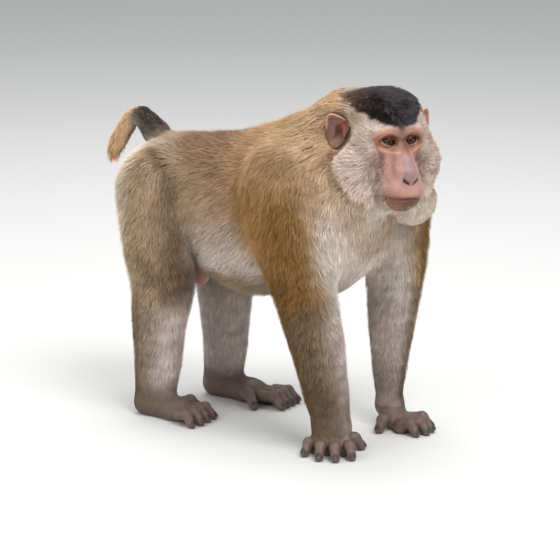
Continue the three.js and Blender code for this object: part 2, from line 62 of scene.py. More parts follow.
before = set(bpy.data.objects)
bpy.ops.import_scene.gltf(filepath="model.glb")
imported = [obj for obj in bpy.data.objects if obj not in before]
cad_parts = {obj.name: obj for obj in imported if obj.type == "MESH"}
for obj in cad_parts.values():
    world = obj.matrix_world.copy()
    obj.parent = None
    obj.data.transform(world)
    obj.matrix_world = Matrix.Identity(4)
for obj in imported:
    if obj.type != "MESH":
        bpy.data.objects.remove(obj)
CAD_BOX = [list(corner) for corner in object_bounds()]
MM = 0.001

# ---------------------------------------------------------------- head frame: left, forward, up
HEAD_TURN = math.radians(34)
AHEAD = np.array([-math.sin(HEAD_TURN), -math.cos(HEAD_TURN), 0.0])
LEFT = np.array([math.cos(HEAD_TURN), -math.sin(HEAD_TURN), 0.0])
UP = np.array([0.0, 0.0, 1.0])
HEAD_AXES = np.array([LEFT, AHEAD, UP])
HEAD_AT = np.array([-43.3, -230.8, 428.3])
EYE_SPREAD = 15.5
EYE_RADIUS = 10.0
EYE_DEPTH = 9.5


def frame_shift():
    """Millimetres from the measures below to the frame: the eyes' middle in the frame, less their own."""
    corners = [np.array(c) for node in ("eye_r", "eye_l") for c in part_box(node)]
    middle = np.mean(corners, axis=0) / MM
    return middle - (HEAD_AT - EYE_DEPTH * AHEAD)


SHIFT = frame_shift()

# ---------------------------------------------------------------- the animal's measures
RIGHT_ARM = [
    [-68, -62, 350, 60], [-82, -80, 285, 55], [-86, -106, 215, 46],
    [-87, -128, 145, 40], [-87, -144, 76, 33], [-88, -154, 38, 26],
]
LEFT_ARM = [
    [75, -110, 348, 58], [88, -134, 294, 55], [88, -139, 228, 45],
    [79.5, -138, 150, 35.5], [73, -139, 80, 26], [65, -144, 34, 17.5],
]
RIGHT_LEG = [
    [-50, 174, 316, 67], [-62, 164, 252, 59], [-70, 150, 188, 50],
    [-73, 156, 130, 42], [-74, 157, 80, 38], [-76, 160, 40, 32],
]
LEFT_LEG = [
    [50, 176, 316, 68], [60, 156, 252, 58], [62, 142, 188, 49],
    [60, 139, 130, 41], [58, 137, 80, 36], [57, 140, 40, 31],
]
TAIL = [
    [0, 196, 366, 22], [0, 222, 394, 17], [0, 240, 409, 14.5], [0, 258, 407, 13],
    [0, 272, 389, 12.5], [-2, 287, 364, 12], [-3, 293, 354, 9],
]
SAC = [[-6, 134, 236, 8], [-8, 132, 212, 11], [-8, 131, 190, 12.5]]
ARM_FLATNESS = (1.1, 1, 1)
LEG_FLATNESS = (1.2, 1, 1)
# Each limb's joints, how flat it is, and how softly it joins the trunk.
LIMBS = {
    "arm_r": (RIGHT_ARM, ARM_FLATNESS, 46),
    "arm_l": (LEFT_ARM, ARM_FLATNESS, 46),
    "leg_r": (RIGHT_LEG, LEG_FLATNESS, 30),
    "leg_l": (LEFT_LEG, LEG_FLATNESS, 30),
}

# Hands and feet: palm and knuckle ridge [x, y, z, radius], then each digit's knuckle and tip in plan.
HANDS = {
    "hand_r": {
        "palm": [[-88, -152, 30, 24], [-96, -156, 15, 20]],
        "ridge": [[-106, -138, 8, 11], [-94, -180, 8, 11]],
        "digits": [
            [-105, -137, -134, -141], [-108, -153, -140, -169], [-104, -168, -132, -190],
            [-94, -182, -112, -203], [-78, -168, -62, -184],
        ],
    },
    "hand_l": {
        "palm": [[65, -146, 28, 18.5], [58, -160, 12, 17]],
        "ridge": [[42, -182, 7, 10.5], [70, -176, 7, 10.5]],
        "digits": [
            [73, -176, 80, -203], [62, -183, 66, -214], [51, -185, 50, -217],
            [40, -183, 34, -210], [44, -157, 20, -158],
        ],
    },
    "foot_r": {
        "palm": [[-84, 168, 15, 19], [-84, 116, 13, 17]],
        "ridge": [[-84, 116, 12, 17], [-84, 92, 9.5, 14]],
        "digits": [
            [-107, 96, -113, 68], [-93, 98, -95, 65], [-79, 100, -77, 68], [-65, 102, -59, 71],
            [-64, 128, -34, 118],
        ],
    },
    "foot_l": {
        "palm": [[56, 152, 15, 19], [56, 92, 14, 18]],
        "ridge": [[56, 92, 13, 18], [60, 58, 9.5, 14]],
        "digits": [
            [82, 65, 81, 26], [68, 64, 66, 24], [54, 63, 51, 22], [40, 62, 36, 20],
            [42, 96, 15, 54],
        ],
    },
}
HAND_TOP = 75
KNUCKLE_HEIGHT = 14
MIDDLE_HEIGHT = 17
TIP_HEIGHT = 5.6
DIGIT_RADII = (8.2, 7.4, 6.5)
THUMB_RADII = (9.5, 8.4, 7.2)


# ---------------------------------------------------------------- implicit shapes
def smooth(x, low, high):
    """0 below low and 1 above high, with the soft step 3t^2 - 2t^3 between; low may be above high."""
    t = np.clip((x - low) / (high - low), 0, 1)
    return t * t * (3 - 2 * t)


def bump(x, width):
    """A bell curve: exp(-(x / width)^2)."""
    return np.exp(-((x / width) ** 2))


def unit(v):
    """Each row divided by its length."""
    return v / (np.linalg.norm(v, axis=-1, keepdims=True) + 1e-12)


def blend(a, b, k):
    """The smaller of two distances, rounded off by k/4 where they are equal."""
    h = np.maximum(k - np.abs(a - b), 0) / k
    return np.minimum(a, b) - h * h * k / 4


def carve(a, b, k):
    """a with the shape b cut out of it, its edge rounded: -blend(-a, b)."""
    return -blend(-a, b, k)


def ball(p, centre, radii):
    """Distance to an ellipsoid: k0 (k0 - 1) / k1, k0 being |q/r| and k1 being |q/r^2|."""
    q = p - np.array(centre, float)
    r = np.array(radii, float)
    k0 = np.linalg.norm(q / r, axis=1)
    k1 = np.linalg.norm(q / (r * r), axis=1) + 1e-9
    return k0 * (k0 - 1) / k1


def cone(p, a, b, ra, rb, flat=(1, 1, 1)):
    """Distance to a tapered round rod from a to b: how far p is from the axis, less the radius there."""
    a, b = np.array(a[:3], float), np.array(b[:3], float)
    ab = b - a
    t = np.clip(((p - a) @ ab) / (ab @ ab), 0, 1)[:, None]
    off = (p - a - t * ab) * np.array(flat, float)
    return (np.linalg.norm(off, axis=1) - (ra + (rb - ra) * t[:, 0])) / max(flat)


def limb(p, joints, flat=(1, 1, 1)):
    """The nearest of a run of tapered rods through joints [x, y, z, radius]."""
    d = np.full(len(p), 1e9)
    for a, b in zip(joints[:-1], joints[1:]):
        d = np.minimum(d, cone(p, a, b, a[3], b[3], flat))
    return d


def mirrored(p):
    """The points with their first measure's sign dropped, so that both sides are treated alike."""
    return np.stack([np.abs(p[:, 0]), p[:, 1], p[:, 2]], 1)


def to_head(p):
    """Body measures to head measures: left, forward and up from the point between the eyes."""
    return (p - HEAD_AT) @ HEAD_AXES.T


def from_head(q):
    """Head measures to body measures."""
    return HEAD_AT + np.asarray(q, float) @ HEAD_AXES


def trunk(p):
    """Chest, withers, belly, loin and hips as five blended ellipsoids."""
    d = ball(p, (0, -72, 314), (86, 94, 120))
    d = blend(d, ball(p, (0, -52, 383), (60, 106, 50)), 40)
    d = blend(d, ball(p, (0, 34, 286), (84, 120, 108)), 50)
    d = blend(d, ball(p, (0, 106, 335), (64, 100, 65)), 40)
    return blend(d, ball(p, (0, 184, 322), (66, 58, 60)), 40)


def neck(p):
    """Nape and throat as two blended tapered rods."""
    nape = cone(p, (0, -70, 376), (-14, -132, 430), 60, 57.5)
    return blend(nape, cone(p, (0, -110, 340), (-24, -172, 366), 66, 48), 20)


def palm(p, part):
    """The flat of a hand or foot and the ridge of its knuckles."""
    (a, b), (c, e) = part["palm"], part["ridge"]
    return blend(cone(p, a, b, a[3], b[3], (0.9, 1, 1.05)), cone(p, c, e, c[3], e[3], (0.85, 1, 1.1)), 12)


def digit_path(plan, thick):
    """Knuckle, middle joint and tip of a digit, bent upwards at 60 per cent of its length."""
    x0, y0, x1, y1 = plan
    lift = 1.5 if thick else 0
    middle = (x0 + 0.6 * (x1 - x0), y0 + 0.6 * (y1 - y0), MIDDLE_HEIGHT)
    return (x0, y0, KNUCKLE_HEIGHT + lift), middle, (x1, y1, TIP_HEIGHT + lift / 2)


def digits(p, part):
    """Each digit as two tapered rods with a swollen middle joint."""
    d = np.full(len(p), 1e9)
    for n, plan in enumerate(part["digits"]):
        a, b, c = digit_path(plan, n == 4)
        ra, rb, rc = THUMB_RADII if n == 4 else DIGIT_RADII
        one = blend(cone(p, a, b, ra, rb * 0.92), cone(p, b, c, rb * 0.92, rc * 0.96), 3)
        d = np.minimum(d, blend(one, ball(p, b, (rb, rb, rb * 0.98)), 3))
    return d


def head(q):
    """The head in its own measures: braincase, ruff, throat, face, jaw, brow, nose, muzzle and chin."""
    d = ball(q, (1, -62, 10), (58, 62, 53))
    for side in (-1, 1):
        d = blend(d, ball(q, (side * 41 + 1, -52, -30), (32, 42, 42)), 22)
    d = blend(d, cone(q, (34, -50, -60), (43, -62, -94), 28, 34), 22)
    d = blend(d, ball(q, (0, -44, -56), (44, 44, 38)), 22)
    d = blend(d, ball(q, (0, -20, -14), (41, 24, 36)), 10)
    d = blend(d, cone(q, (0, -24, -12), (0, -2, -58), 22, 23.5), 12)
    d = blend(d, cone(q, (-25, -9, 12), (25, -9, 12), 10, 10), 8)
    d = blend(d, cone(q, (0, -2, 2), (0, 26, -40), 9, 14, (0.8, 1, 1)), 10)
    d = blend(d, ball(q, (0, 6, -60), (26, 34, 24)), 10)
    d = blend(d, ball(q, (0, 2, -75), (24, 27, 19)), 8)
    for side in (-1, 1):
        d = carve(d, ball(q, (side * EYE_SPREAD, 1, -1), (11, 8, 7)), 5)
    return d


def envelope(p):
    """Distance to the outline of the coat: every part blended into one smooth body."""
    d = blend(trunk(p), neck(p), 36)
    for joints, flat, softness in LIMBS.values():
        d = blend(d, limb(p, joints, flat), softness)
    low = p[:, 2] < HAND_TOP
    if low.any():
        part = p[low]
        e = d[low]
        for plan in HANDS.values():
            e = blend(e, palm(part, plan), 12)
            e = blend(e, digits(part, plan), 4)
        d[low] = e
    q = to_head(p)
    d = blend(d, head(q), 18)
    for side in (-1, 1):
        d = carve(d, ball(q, (side * 68, -60, 6), (25, 24, 28)), 12)
    return blend(d, limb(p, TAIL), 10)


# ---------------------------------------------------------------- parts, regions and the lie of the hair
TRUNK, NECK, ARM_R, ARM_L, LEG_R, LEG_L, TAIL_PART, HEAD = range(8)


def shares(p):
    """Each part's share of each point: exp(-distance / 9), scaled so that the shares add to 1."""
    limbs = [limb(p, joints, flat) for joints, flat, _ in LIMBS.values()]
    d = np.stack([trunk(p), neck(p), *limbs, limb(p, TAIL), head(to_head(p))], 1)
    w = np.exp(-(d - d.min(1, keepdims=True)) / 9)
    return w / w.sum(1, keepdims=True)


# Half width of the bare face at heights over the eyes, from under the chin to over the brows.
FACE_LEVELS = [-102, -97, -91, -83, -73, -62, -48, -36, -23, -10, 3, 8, 14, 18, 22]
FACE_WIDTHS = [-12, 0, 12, 21, 26, 27, 24, 23, 26, 31, 35.5, 36.5, 34, 27, -12]


# The line behind the cheek where the ruff ends: heights over the eyes and forward measures there.
RUFF_HEIGHTS = [-92, -80, -75, -66, -47, -29, 10]
RUFF_FORWARD = [-6, -22, -31, -40, -46, -54, -62]


def ruff_edge(q):
    """How far a point lies before the curved line behind the cheek where the ruff ends."""
    return q[:, 1] - np.interp(q[:, 2], RUFF_HEIGHTS, RUFF_FORWARD)


def bare_face(q):
    """1 on the bare skin round the eyes, down the nose and over the muzzle, 0 in the coat."""
    edge = np.interp(q[:, 2], FACE_LEVELS, FACE_WIDTHS) - np.abs(q[:, 0])
    return smooth(edge, -3.5, 2.5) * smooth(q[:, 1], -22, -13)


def cap_edge(q):
    """Height above the edge of the dark cap: a V with its point between the brows."""
    side = np.abs(q[:, 0] - 3)
    left = 0.55 * np.clip(q[:, 0] - 15, 0, 20)
    return q[:, 2] - (19 + 0.14 * side + 0.010 * side**2 + left)


def parting(q):
    """How far to the left of the cap's parting, which runs back and to the right from between the brows."""
    return q[:, 0] - 2.5 + 0.62 * np.clip(q[:, 2] - 22, 0, 26) + 0.35 * np.clip(-18 - q[:, 1], 0, 60)


def coat_depth(p, w, q):
    """Depth of the coat over the skin: 10.5 on the trunk, less on limbs and tail and near the face."""
    z = p[:, 2]
    arm = 1.2 + 3.3 * smooth(z, 42, 100) + 5 * smooth(z, 120, 260)
    leg = 1.2 + 3.3 * smooth(z, 40, 90) + 5 * smooth(z, 110, 250)
    ruff = 4 + 5 * smooth(np.abs(q[:, 0]), 38, 60) * smooth(q[:, 2], 10, -15)
    on_head = ruff * (1 - bare_face(q)) * smooth(q[:, 1], 4, -22)
    depths = np.stack([
        np.full(len(p), 10.5), np.full(len(p), 10.0), arm, arm, leg, leg, np.full(len(p), 4.2), on_head,
    ], 1)
    depth = (w * depths).sum(1)
    return depth * smooth(z, 24, 46)


def mouth_line(left):
    """Height of the line of the mouth: raised a little in its middle and falling towards its corners."""
    return -71.4 + 0.9 * bump(left, 7) - 0.0016 * left**2


def brow_line(side):
    """Height of the crest of the brow ridge."""
    return 13.2 - 0.034 * (side - 15) ** 2


def nostril(side):
    """Share of the way along a nostril, from inside and below to outside and above, and its height there."""
    t = np.clip((side - 1.8) / 8.0, 0, 1)
    return t, -51.4 + 6.4 * t


def features(q):
    """Folds of the face, in millimetres pressed in (positive) or raised (negative).

    The mouth is a long groove between two full lips, the nostrils a shallow V, with a groove below the nose,
    folds from the nose to the mouth's corners, bags below the eyes and lines over the brow.
    """
    l, f, u = q.T
    side = np.abs(l)
    front = smooth(f, -6, 6)
    line = mouth_line(l)
    width = smooth(side, 31, 25)
    d = 2.6 * bump(u - line, 1.25) * width * front
    d = d - 1.1 * bump(u - line + 5.2, 3.6) * smooth(side, 26, 16) * front
    d = d - 0.8 * bump(u - line - 4.6, 3.4) * smooth(side, 26, 14) * front
    d = d + 1.3 * bump(u + 86.5, 3.2) * smooth(side, 20, 8) * front
    d = d + 0.8 * bump(l, 1.5) * smooth(u, -69, -64) * smooth(u, -50, -54) * front
    t, slit = nostril(side)
    tip = smooth(f, 24, 32)
    d = d + 5.2 * bump(u - slit, 1.3 + 1.0 * t) * smooth(side, 0.9, 2.6) * smooth(side, 11.2, 8.8) * tip
    d = d - 1.3 * bump(u - slit - 4.0, 2.6) * bump(side - 6.2, 4.2) * tip
    d = d + 0.9 * bump(side - 12.5, 2.4) * bump(u + 44, 6) * tip
    # fold from the side of the nose to the corner of the mouth
    fold = 14.5 + np.clip(-36 - u, 0, 60) * 0.42
    d = d + 1.0 * bump(side - fold, 2.4) * smooth(u, -32, -40) * smooth(u, -72, -62) * smooth(f, -4, 8)
    # bags under the eyes
    for radius, depth in ((1.0, 0.8), (1.32, 0.5)):
        ring = np.sqrt(((side - EYE_SPREAD) / 14) ** 2 + ((u + 1) / 11) ** 2)
        d = d + depth * bump(ring - radius, 0.085) * smooth(u, -3, -7) * smooth(f, -14, -6)
    # lines over and between the brows
    for level, depth in ((15.0, 0.7), (19.5, 0.5)):
        d = d + depth * bump(u - level - 0.06 * side, 1.1) * smooth(side, 30, 16) * smooth(f, -16, -8)
    d = d + 0.6 * bump(side - 3.2, 1.1) * smooth(u, -2, 3) * smooth(u, 14, 8) * smooth(f, -8, 0)
    # hollow cheek beside the muzzle, brow ridges over the eyes and the hollows below them
    d = d + 4.6 * bump(side - 28, 7.5) * bump(u + 34, 15) * smooth(f, -24, -10)
    brow = brow_line(side)
    d = d - 2.6 * bump(u - brow, 3.2) * smooth(side, 34, 25) * smooth(f, -24, -10)
    d = d + 1.8 * bump(u - brow + 6.4, 2.8) * smooth(side, 30, 22) * smooth(side, 3, 8) * smooth(f, -20, -8)
    # whisker pads and the flat sides of the nose
    d = d - 1.4 * bump(side - 17, 8) * bump(u + 61, 8) * smooth(f, 4, 14)
    d = d + 1.2 * bump(side - 13, 5) * bump(u + 24, 10) * smooth(f, -6, 6)
    return d


def lie(p, n, w, q):
    """Direction of the hair: each part's own, weighted by its share and laid flat on the surface.

    On the trunk it runs back and down, on the chest down, on limbs and tail along the axis, on the cheeks
    away from the nose, and on the cap outwards from its parting.
    """
    m = len(p)
    side = np.sign(p[:, 0:1])
    flank = smooth(p[:, 2:3], 400, 330)
    body = np.concatenate([0.10 * side * (1 - flank), 1 - 0.35 * flank, -0.75 * flank], 1)
    belly = smooth(p[:, 2:3], 250, 215)
    body = body * (1 - belly) + np.array([0, 1, -0.1]) * belly
    chest = smooth(p[:, 1:2], -95, -135)
    body = body * (1 - chest) + np.array([0, -0.1, -1]) * chest
    rear = smooth(p[:, 1:2], 195, 225)
    body = body * (1 - rear) + np.array([0, 0.2, -1]) * rear
    drop = -0.25 - 0.6 * smooth(p[:, 2:3], 455, 400)
    nape = np.concatenate([0.25 * side, np.full((m, 1), 0.72), drop], 1)
    throat = smooth(p[:, 1:2], -120, -160) * smooth(p[:, 2:3], 400, 360)
    nape = nape * (1 - throat) + np.array([0, 0.05, -1]) * throat
    ways = [body, nape]
    for name, (joints, *_) in LIMBS.items():
        a, b = np.array(joints[1][:3], float), np.array(joints[-1][:3], float)
        back = 0.30 if name.startswith("arm") else 0.10
        way = unit(b - a) + np.array([0, back, 0])
        low = smooth(p[:, 2:3], 46, 26)
        ways.append(way * (1 - low) + np.array([0, -1, -0.25]) * low)
    along = np.clip((p[:, 1:2] - 215) / 60, 0, 1)
    ways.append(np.concatenate([np.zeros((m, 1)), 1 - along, 0.75 - 2.4 * along], 1))
    ways.append(head_lie(q))
    total = sum(w[:, i:i + 1] * unit(way) for i, way in enumerate(ways))
    total = total - n * (total * n).sum(1, keepdims=True)
    return unit(total)


def head_lie(q):
    """Hair of the head in body directions: away from the nose, and on the cap outwards from the parting."""
    away = unit(q - np.array([0, 34.0, -34.0]))
    away = away + np.array([0, -0.45, -0.25])
    off = parting(q)[:, None]
    lobes = np.concatenate([np.tanh(off / 5) * 1.1, 0.30 + 0 * off, -0.35 + 0 * off], 1)
    swirl = smooth(q[:, 1:2], -46, -74)
    lobes = lobes * (1 - swirl) + np.array([0, -1.0, -0.1]) * swirl
    cap = smooth(cap_edge(q), -1, 6)[:, None]
    return (away * (1 - cap) + lobes * cap) @ HEAD_AXES


# ---------------------------------------------------------------- markings
def colour(*rgb):
    """An 8-bit display colour as linear red, green and blue."""
    c = np.array(rgb, float) / 255
    return np.where(c <= 0.04045, c / 12.92, ((c + 0.055) / 1.055) ** 2.4)


def waves(p, scale, seed):
    """Soft noise from -1 to 1: the mean of six sine waves in seeded directions, about scale long."""
    rng = np.random.default_rng(seed)
    total = np.zeros(len(p))
    for _ in range(6):
        way = unit(rng.normal(size=3)) * 2 * math.pi / (scale * rng.uniform(0.7, 1.5))
        total += np.sin(p @ way + rng.uniform(0, 2 * math.pi))
    return total / 3.0


def over(base, mask, top):
    """base with top laid over it by mask."""
    return base + (top - base) * mask[:, None]


def painted(base, *layers):
    """base with layers (mask, colour) laid over it in turn."""
    for mask, top in layers:
        base = over(base, mask, top)
    return base


def ramp(value, *stops):
    """Colours blended along a value, from stops (value, colour)."""
    levels = [level for level, _ in stops]
    table = np.array([tone for _, tone in stops])
    return np.stack([np.interp(value, levels, table[:, k]) for k in range(3)], 1)


def turn_round(p, joints, sign):
    """Degrees round a limb: 0 on its outer side, 90 in front, 180 inside, and -90 or 270 behind."""
    axis = np.array(joints, float)[::-1]
    out = sign * (p[:, 0] - np.interp(p[:, 2], axis[:, 2], axis[:, 0]))
    ahead = np.interp(p[:, 2], axis[:, 2], axis[:, 1]) - p[:, 1]
    turn = np.degrees(np.arctan2(ahead, out))
    return np.where(turn < -90, turn + 360, turn)


def coat_markings(p, n, w, q, c):
    """Colour of the coat at each point, from the sides' light and dark parts; c holds the named colours."""
    x, y, z = p.T
    both = mirrored(p)
    wob = waves(p, 60, 3)
    rear = smooth(y + 5 * wob, 168, 208) * smooth(z, 225, 300)
    # painted shade in the creases where the thighs meet the flanks and the belly
    fold = np.maximum(0.75 * spot(both, (84, 112, 285), (13, 12, 40)),
        0.6 * spot(both, (77, 122, 352), (12, 11, 34)))
    groin = np.maximum(spot(both, (74, 97, 238), (17, 15, 36)), fold)
    # trunk: tan above with a brown saddle, golden withers, tan flank, whitish lower flank and chest
    t = ramp(y, (-30, c["shoulder"]), (25, c["loin"]), (60, c["back"]), (125, c["back"]), (165, c["limb"]))
    t = over(t, spot(both, (60, 90, 362), (34, 42, 34)) * 0.9, c["saddle"])
    spine = bump(x, 15 + 10 * smooth(y, 90, 170)) * smooth(n[:, 2], 0.3, 0.8) * smooth(y, 10, 60)
    t = over(t, spine * 0.8, c["spine"])
    side = ramp(y, (-20, c["gold"]), (25, c["flank"]), (120, c["thigh"]))
    t = painted(
        t,
        (smooth(z + 8 * wob - 0.35 * (y - 60), 372, 325), side),
        (smooth(y, 30, -25) * smooth(z, 400, 372) * smooth(z, 245, 285), c["gold"]),
        (smooth(z + 8 * wob, 332, 240), c["belly"]),
        # tan hair under the belly, made a little darker as painted shade on the underside
        (smooth(z + 8 * wob, 236, 212), c["under"]),
        (rear, c["rump"]),
        (spot(p, (0, 205, 394), (36, 24, 27)), c["tail_top"] * 0.9),
        # painted shade in the groin
        (groin, c["groin"]),
        (smooth(y - 0.25 * (z - 300) + 6 * wob, -100, -132), c["breast"]),
        (smooth(y, -142, -162), c["chest"]),
        (smooth(z, 322, 366) * smooth(y, -62, -100), c["neck"]),
    )
    # neck: tan nape, golden sides, pale throat
    k = np.tile(c["neck"], (len(p), 1))
    k = painted(
        k,
        (smooth(y + 6 * wob, -104, -60), c["shoulder"]),
        (smooth(n[:, 2], 0.4, 0.9) * 0.6, c["nape"]),
        (smooth(z - 0.5 * (y + 150) + 5 * wob, 392, 350), c["chest"]),
    )
    arc, beside = ruff_edge(q), smooth(q[:, 2], -98, -86) * smooth(np.abs(q[:, 0]), 24, 38)
    k = painted(
        k,
        (smooth(arc, 5, 12) * beside, c["ruff"]),
        # painted shade along the crease where the ruff ends over the neck
        (bump(arc, 8) * beside * 0.9, c["crease"]),
        (smooth(np.abs(q[:, 0]), 42, 26) * smooth(q[:, 2], -140, -118) * smooth(q[:, 1], -100, -76),
         c["throat"]),
        (smooth(cap_edge(q), 0, 6) * smooth(q[:, 1], -86, -66), c["crown"]),
    )
    # arms: gold behind, dark gold outside, tan and then whitish in front, greyer below the elbow
    arms = []
    for joints, sign, twist in ((RIGHT_ARM, -1, 0), (LEFT_ARM, 1, 28)):
        turn = turn_round(p, joints, sign) - twist + 7 * wob
        a = ramp(
            turn, (-14, c["gold"]), (12, c["arm"]), (40, c["arm"]),
            (56, c["upper_arm"]), (70, c["arm_front"]),
            (94, c["breast"]), (190, c["breast"]), (225, c["upper_arm"]), (260, c["gold"]),
        )
        a = painted(
            a,
            (smooth(turn, 25, -15) * smooth(z, 300, 235) * 0.9, c["arm"] * 0.85),
            (smooth(z, 312, 360) * smooth(turn, 60, 84), c["neck"]),
            (smooth(z, 345, 385) * smooth(turn, 90, 60), c["shoulder"]),
        )
        f = ramp(
            turn, (-42, c["arm"] * 0.75), (-12, c["forearm"]), (28, c["forearm"]), (52, c["wrist"]),
            (68, c["arm_side"]), (86, c["inside"]), (185, c["inside"]), (215, c["wrist"]), (245, c["hand"]),
        )
        f = over(f, smooth(z, 140, 50) * 0.62, c["hand"])
        a = over(a, smooth(z + 10 * wob, 226, 178), f)
        arms.append(a)
    # legs: whitish behind the hip, tan thigh, dark in front of it with painted shade in the groin, shank
    # paler towards its inner side
    legs = []
    for joints, sign, twist in ((RIGHT_LEG, -1, 0), (LEFT_LEG, 1, 24)):
        turn = turn_round(p, joints, sign) - twist + 7 * wob
        g = ramp(
            turn, (-46, c["rump"]), (-14, c["thigh"]), (30, c["limb"]),
            (55, c["knee"]), (74, c["knee"] * 0.8),
            (120, c["belly"]), (220, c["belly"]), (250, c["rump"]),
        )
        g = painted(
            g,
            (bump(z - 226 + 6 * wob, 26) * smooth(np.abs(turn - 12), 40, 10) * 0.75, c["knee"]),
            (smooth(z, 285, 240) * smooth(turn, -10, -30) * 0.7, c["thigh"]),
            (rear * 0.8, c["rump"]),
            # painted shade in the groin
            (groin, c["groin"]),
        )
        f = ramp(
            turn, (-44, c["knee"]), (-12, c["shank"] * 0.9), (12, c["shank"]),
            (36, c["shin"] * 0.75), (62, c["shin"]),
            (195, c["shin"]), (235, c["shank"] * 0.8), (260, c["knee"]),
        )
        g = over(g, smooth(z + 8 * wob, 198, 150), f)
        g = over(g, smooth(z, 64, 28) * 0.9, c["hand"])
        legs.append(g)
    # tail: dark above and at its root, grey at the sides, a golden brush
    s = np.tile(c["tail"], (len(p), 1))
    s = painted(
        s,
        (smooth(n[:, 2] - 0.5 * n[:, 1], -0.2, 0.7) * smooth(y, 262, 232), c["tail_top"]),
        (smooth(y, 240, 216) * 0.9, c["tail_top"] * 0.8),
        (smooth(y + 0.5 * (z - 380), 254, 276), c["brush"]),
    )
    layers = [t, k, *arms, *legs, s, head_markings(q, c)]
    return sum(w[:, i:i + 1] * layer for i, layer in enumerate(layers))


def spot(q, centre, radii):
    """A soft spot of colour: exp(-|(q - centre) / radii|^2)."""
    return np.exp(-(((q - np.array(centre)) / np.array(radii)) ** 2).sum(1))


def head_markings(q, c):
    """Colour of the coat on the head: whitish ruff, pale brow, brown temples, brown hair with painted shade
    in the hollows, painted shade at the ruff's edge, and a dark cap.

    The cap is nearly black to the right of its parting, with a painted blue-grey sheen to the left, and
    turns brown behind.
    """
    m = mirrored(q)
    line = ruff_edge(q) + 3 * waves(q, 30, 9)
    h = ramp(line, (-24, c["shoulder"]), (-9, c["neck"]), (12, c["ruff"]))
    h = painted(
        h,
        # painted shade along the crease where the ruff ends
        (bump(line + 1, 9) * smooth(q[:, 2], -12, -26), c["crease"]),
        (smooth(q[:, 2], -70, -88) * smooth(q[:, 1], -60, -42), c["throat"]),
        (spot(m, (33, -10, -76), (10, 18, 20)) * 0.8, c["brow"]),
        # faint painted shade on the cheek beside the eye
        (spot(m, (44, -22, -8), (7, 14, 12)) * 0.45, c["crease"]),
        (spot(m, (52, -37, 18), (13, 14, 19)) * 0.9, c["temple"]),
        (spot(m, (45, -36, 31), (10, 16, 12)) * 0.9, c["temple"] * 0.9),
        (spot(m, (31, -4, -38), (8, 16, 20)) * 0.95, c["shadow"]),
        (spot(m, (27, -6, 21), (15, 16, 8)) * 0.95, c["brow"]),
    )
    edge = cap_edge(q) + 1.2 * waves(q, 16, 8)
    cap = smooth(edge, -0.6, 1.2) * smooth(q[:, 1], -112, -80)
    off = parting(q)
    # painted sheen: a blue-grey reflection on the dark hair left of the parting
    top = over(np.tile(c["cap"], (len(q), 1)), smooth(off, 0, 5) * smooth(edge, 1, 9), c["sheen"])
    top = painted(
        top,
        (spot(q, (6, -19, 45), (11, 9, 4)) * 0.95, c["cap"]),
        (smooth(q[:, 1] + 0.35 * q[:, 0], -56, -74) * smooth(off, 12, -4) * 0.9, c["crown"]),
        (smooth(q[:, 1], -62, -84) * 0.8, c["crown"]),
        (bump(off, 1.6) * smooth(q[:, 1], -34, -16) * 0.55, c["parting"]),
        (bump(off + 9, 4) * smooth(q[:, 1], -26, -42) * 0.15, c["temple"]),
    )
    return over(h, cap, top)


# ---------------------------------------------------------------- the skin's own surface
def eye_hole(q):
    """The two openings in the skin that the lids fill: ellipsoids round the eyeballs."""
    d = np.full(len(q), 1e9)
    for side in (-1, 1):
        d = np.minimum(d, ball(q, (side * EYE_SPREAD, -2, -0.3), (11.6, 16, 8.8)))
    return d


def skin_field(p, open_eyes=True):
    """Distance to the bare skin: the coat's outline, in by the coat's depth and by the folds of the face."""
    w = shares(p)
    q = to_head(p)
    d = envelope(p) + coat_depth(p, w, q)
    near_face = (q[:, 1] > -40) & (np.abs(q).max(1) < 110)
    if near_face.any():
        d[near_face] += features(q[near_face])
        if open_eyes:
            d[near_face] = carve(d[near_face], eye_hole(q[near_face]), 1.5)
    d = blend(d, limb(p, SAC), 7)
    return np.maximum(d, -p[:, 2])


def value_and_slope(field, p, step=0.4):
    """The field at p and its slope, from four points at the corners of a small tetrahedron."""
    corners = np.array([[1, 1, 1], [1, -1, -1], [-1, 1, -1], [-1, -1, 1]], float)
    values = np.stack([field(p + step * corner) for corner in corners])
    slope = np.einsum("cm,cx->mx", values, corners) / (4 * step)
    return values.mean(0), slope


def settle(field, p, rounds=2, reach=1.5):
    """Points moved along the slope onto the surface where the field is zero, and their outward normals."""
    for _ in range(rounds):
        d, slope = value_and_slope(field, p)
        size = (slope**2).sum(1) + 1e-6
        p = p - slope * np.clip(d / size, -reach, reach)[:, None]
    return p, unit(slope)


LATTICE = 4096  # more than the cells along any side of a net
SKIN_BOX = (-160, -300, -12), (150, 316, 510)
SKIN_CELL = 3.9


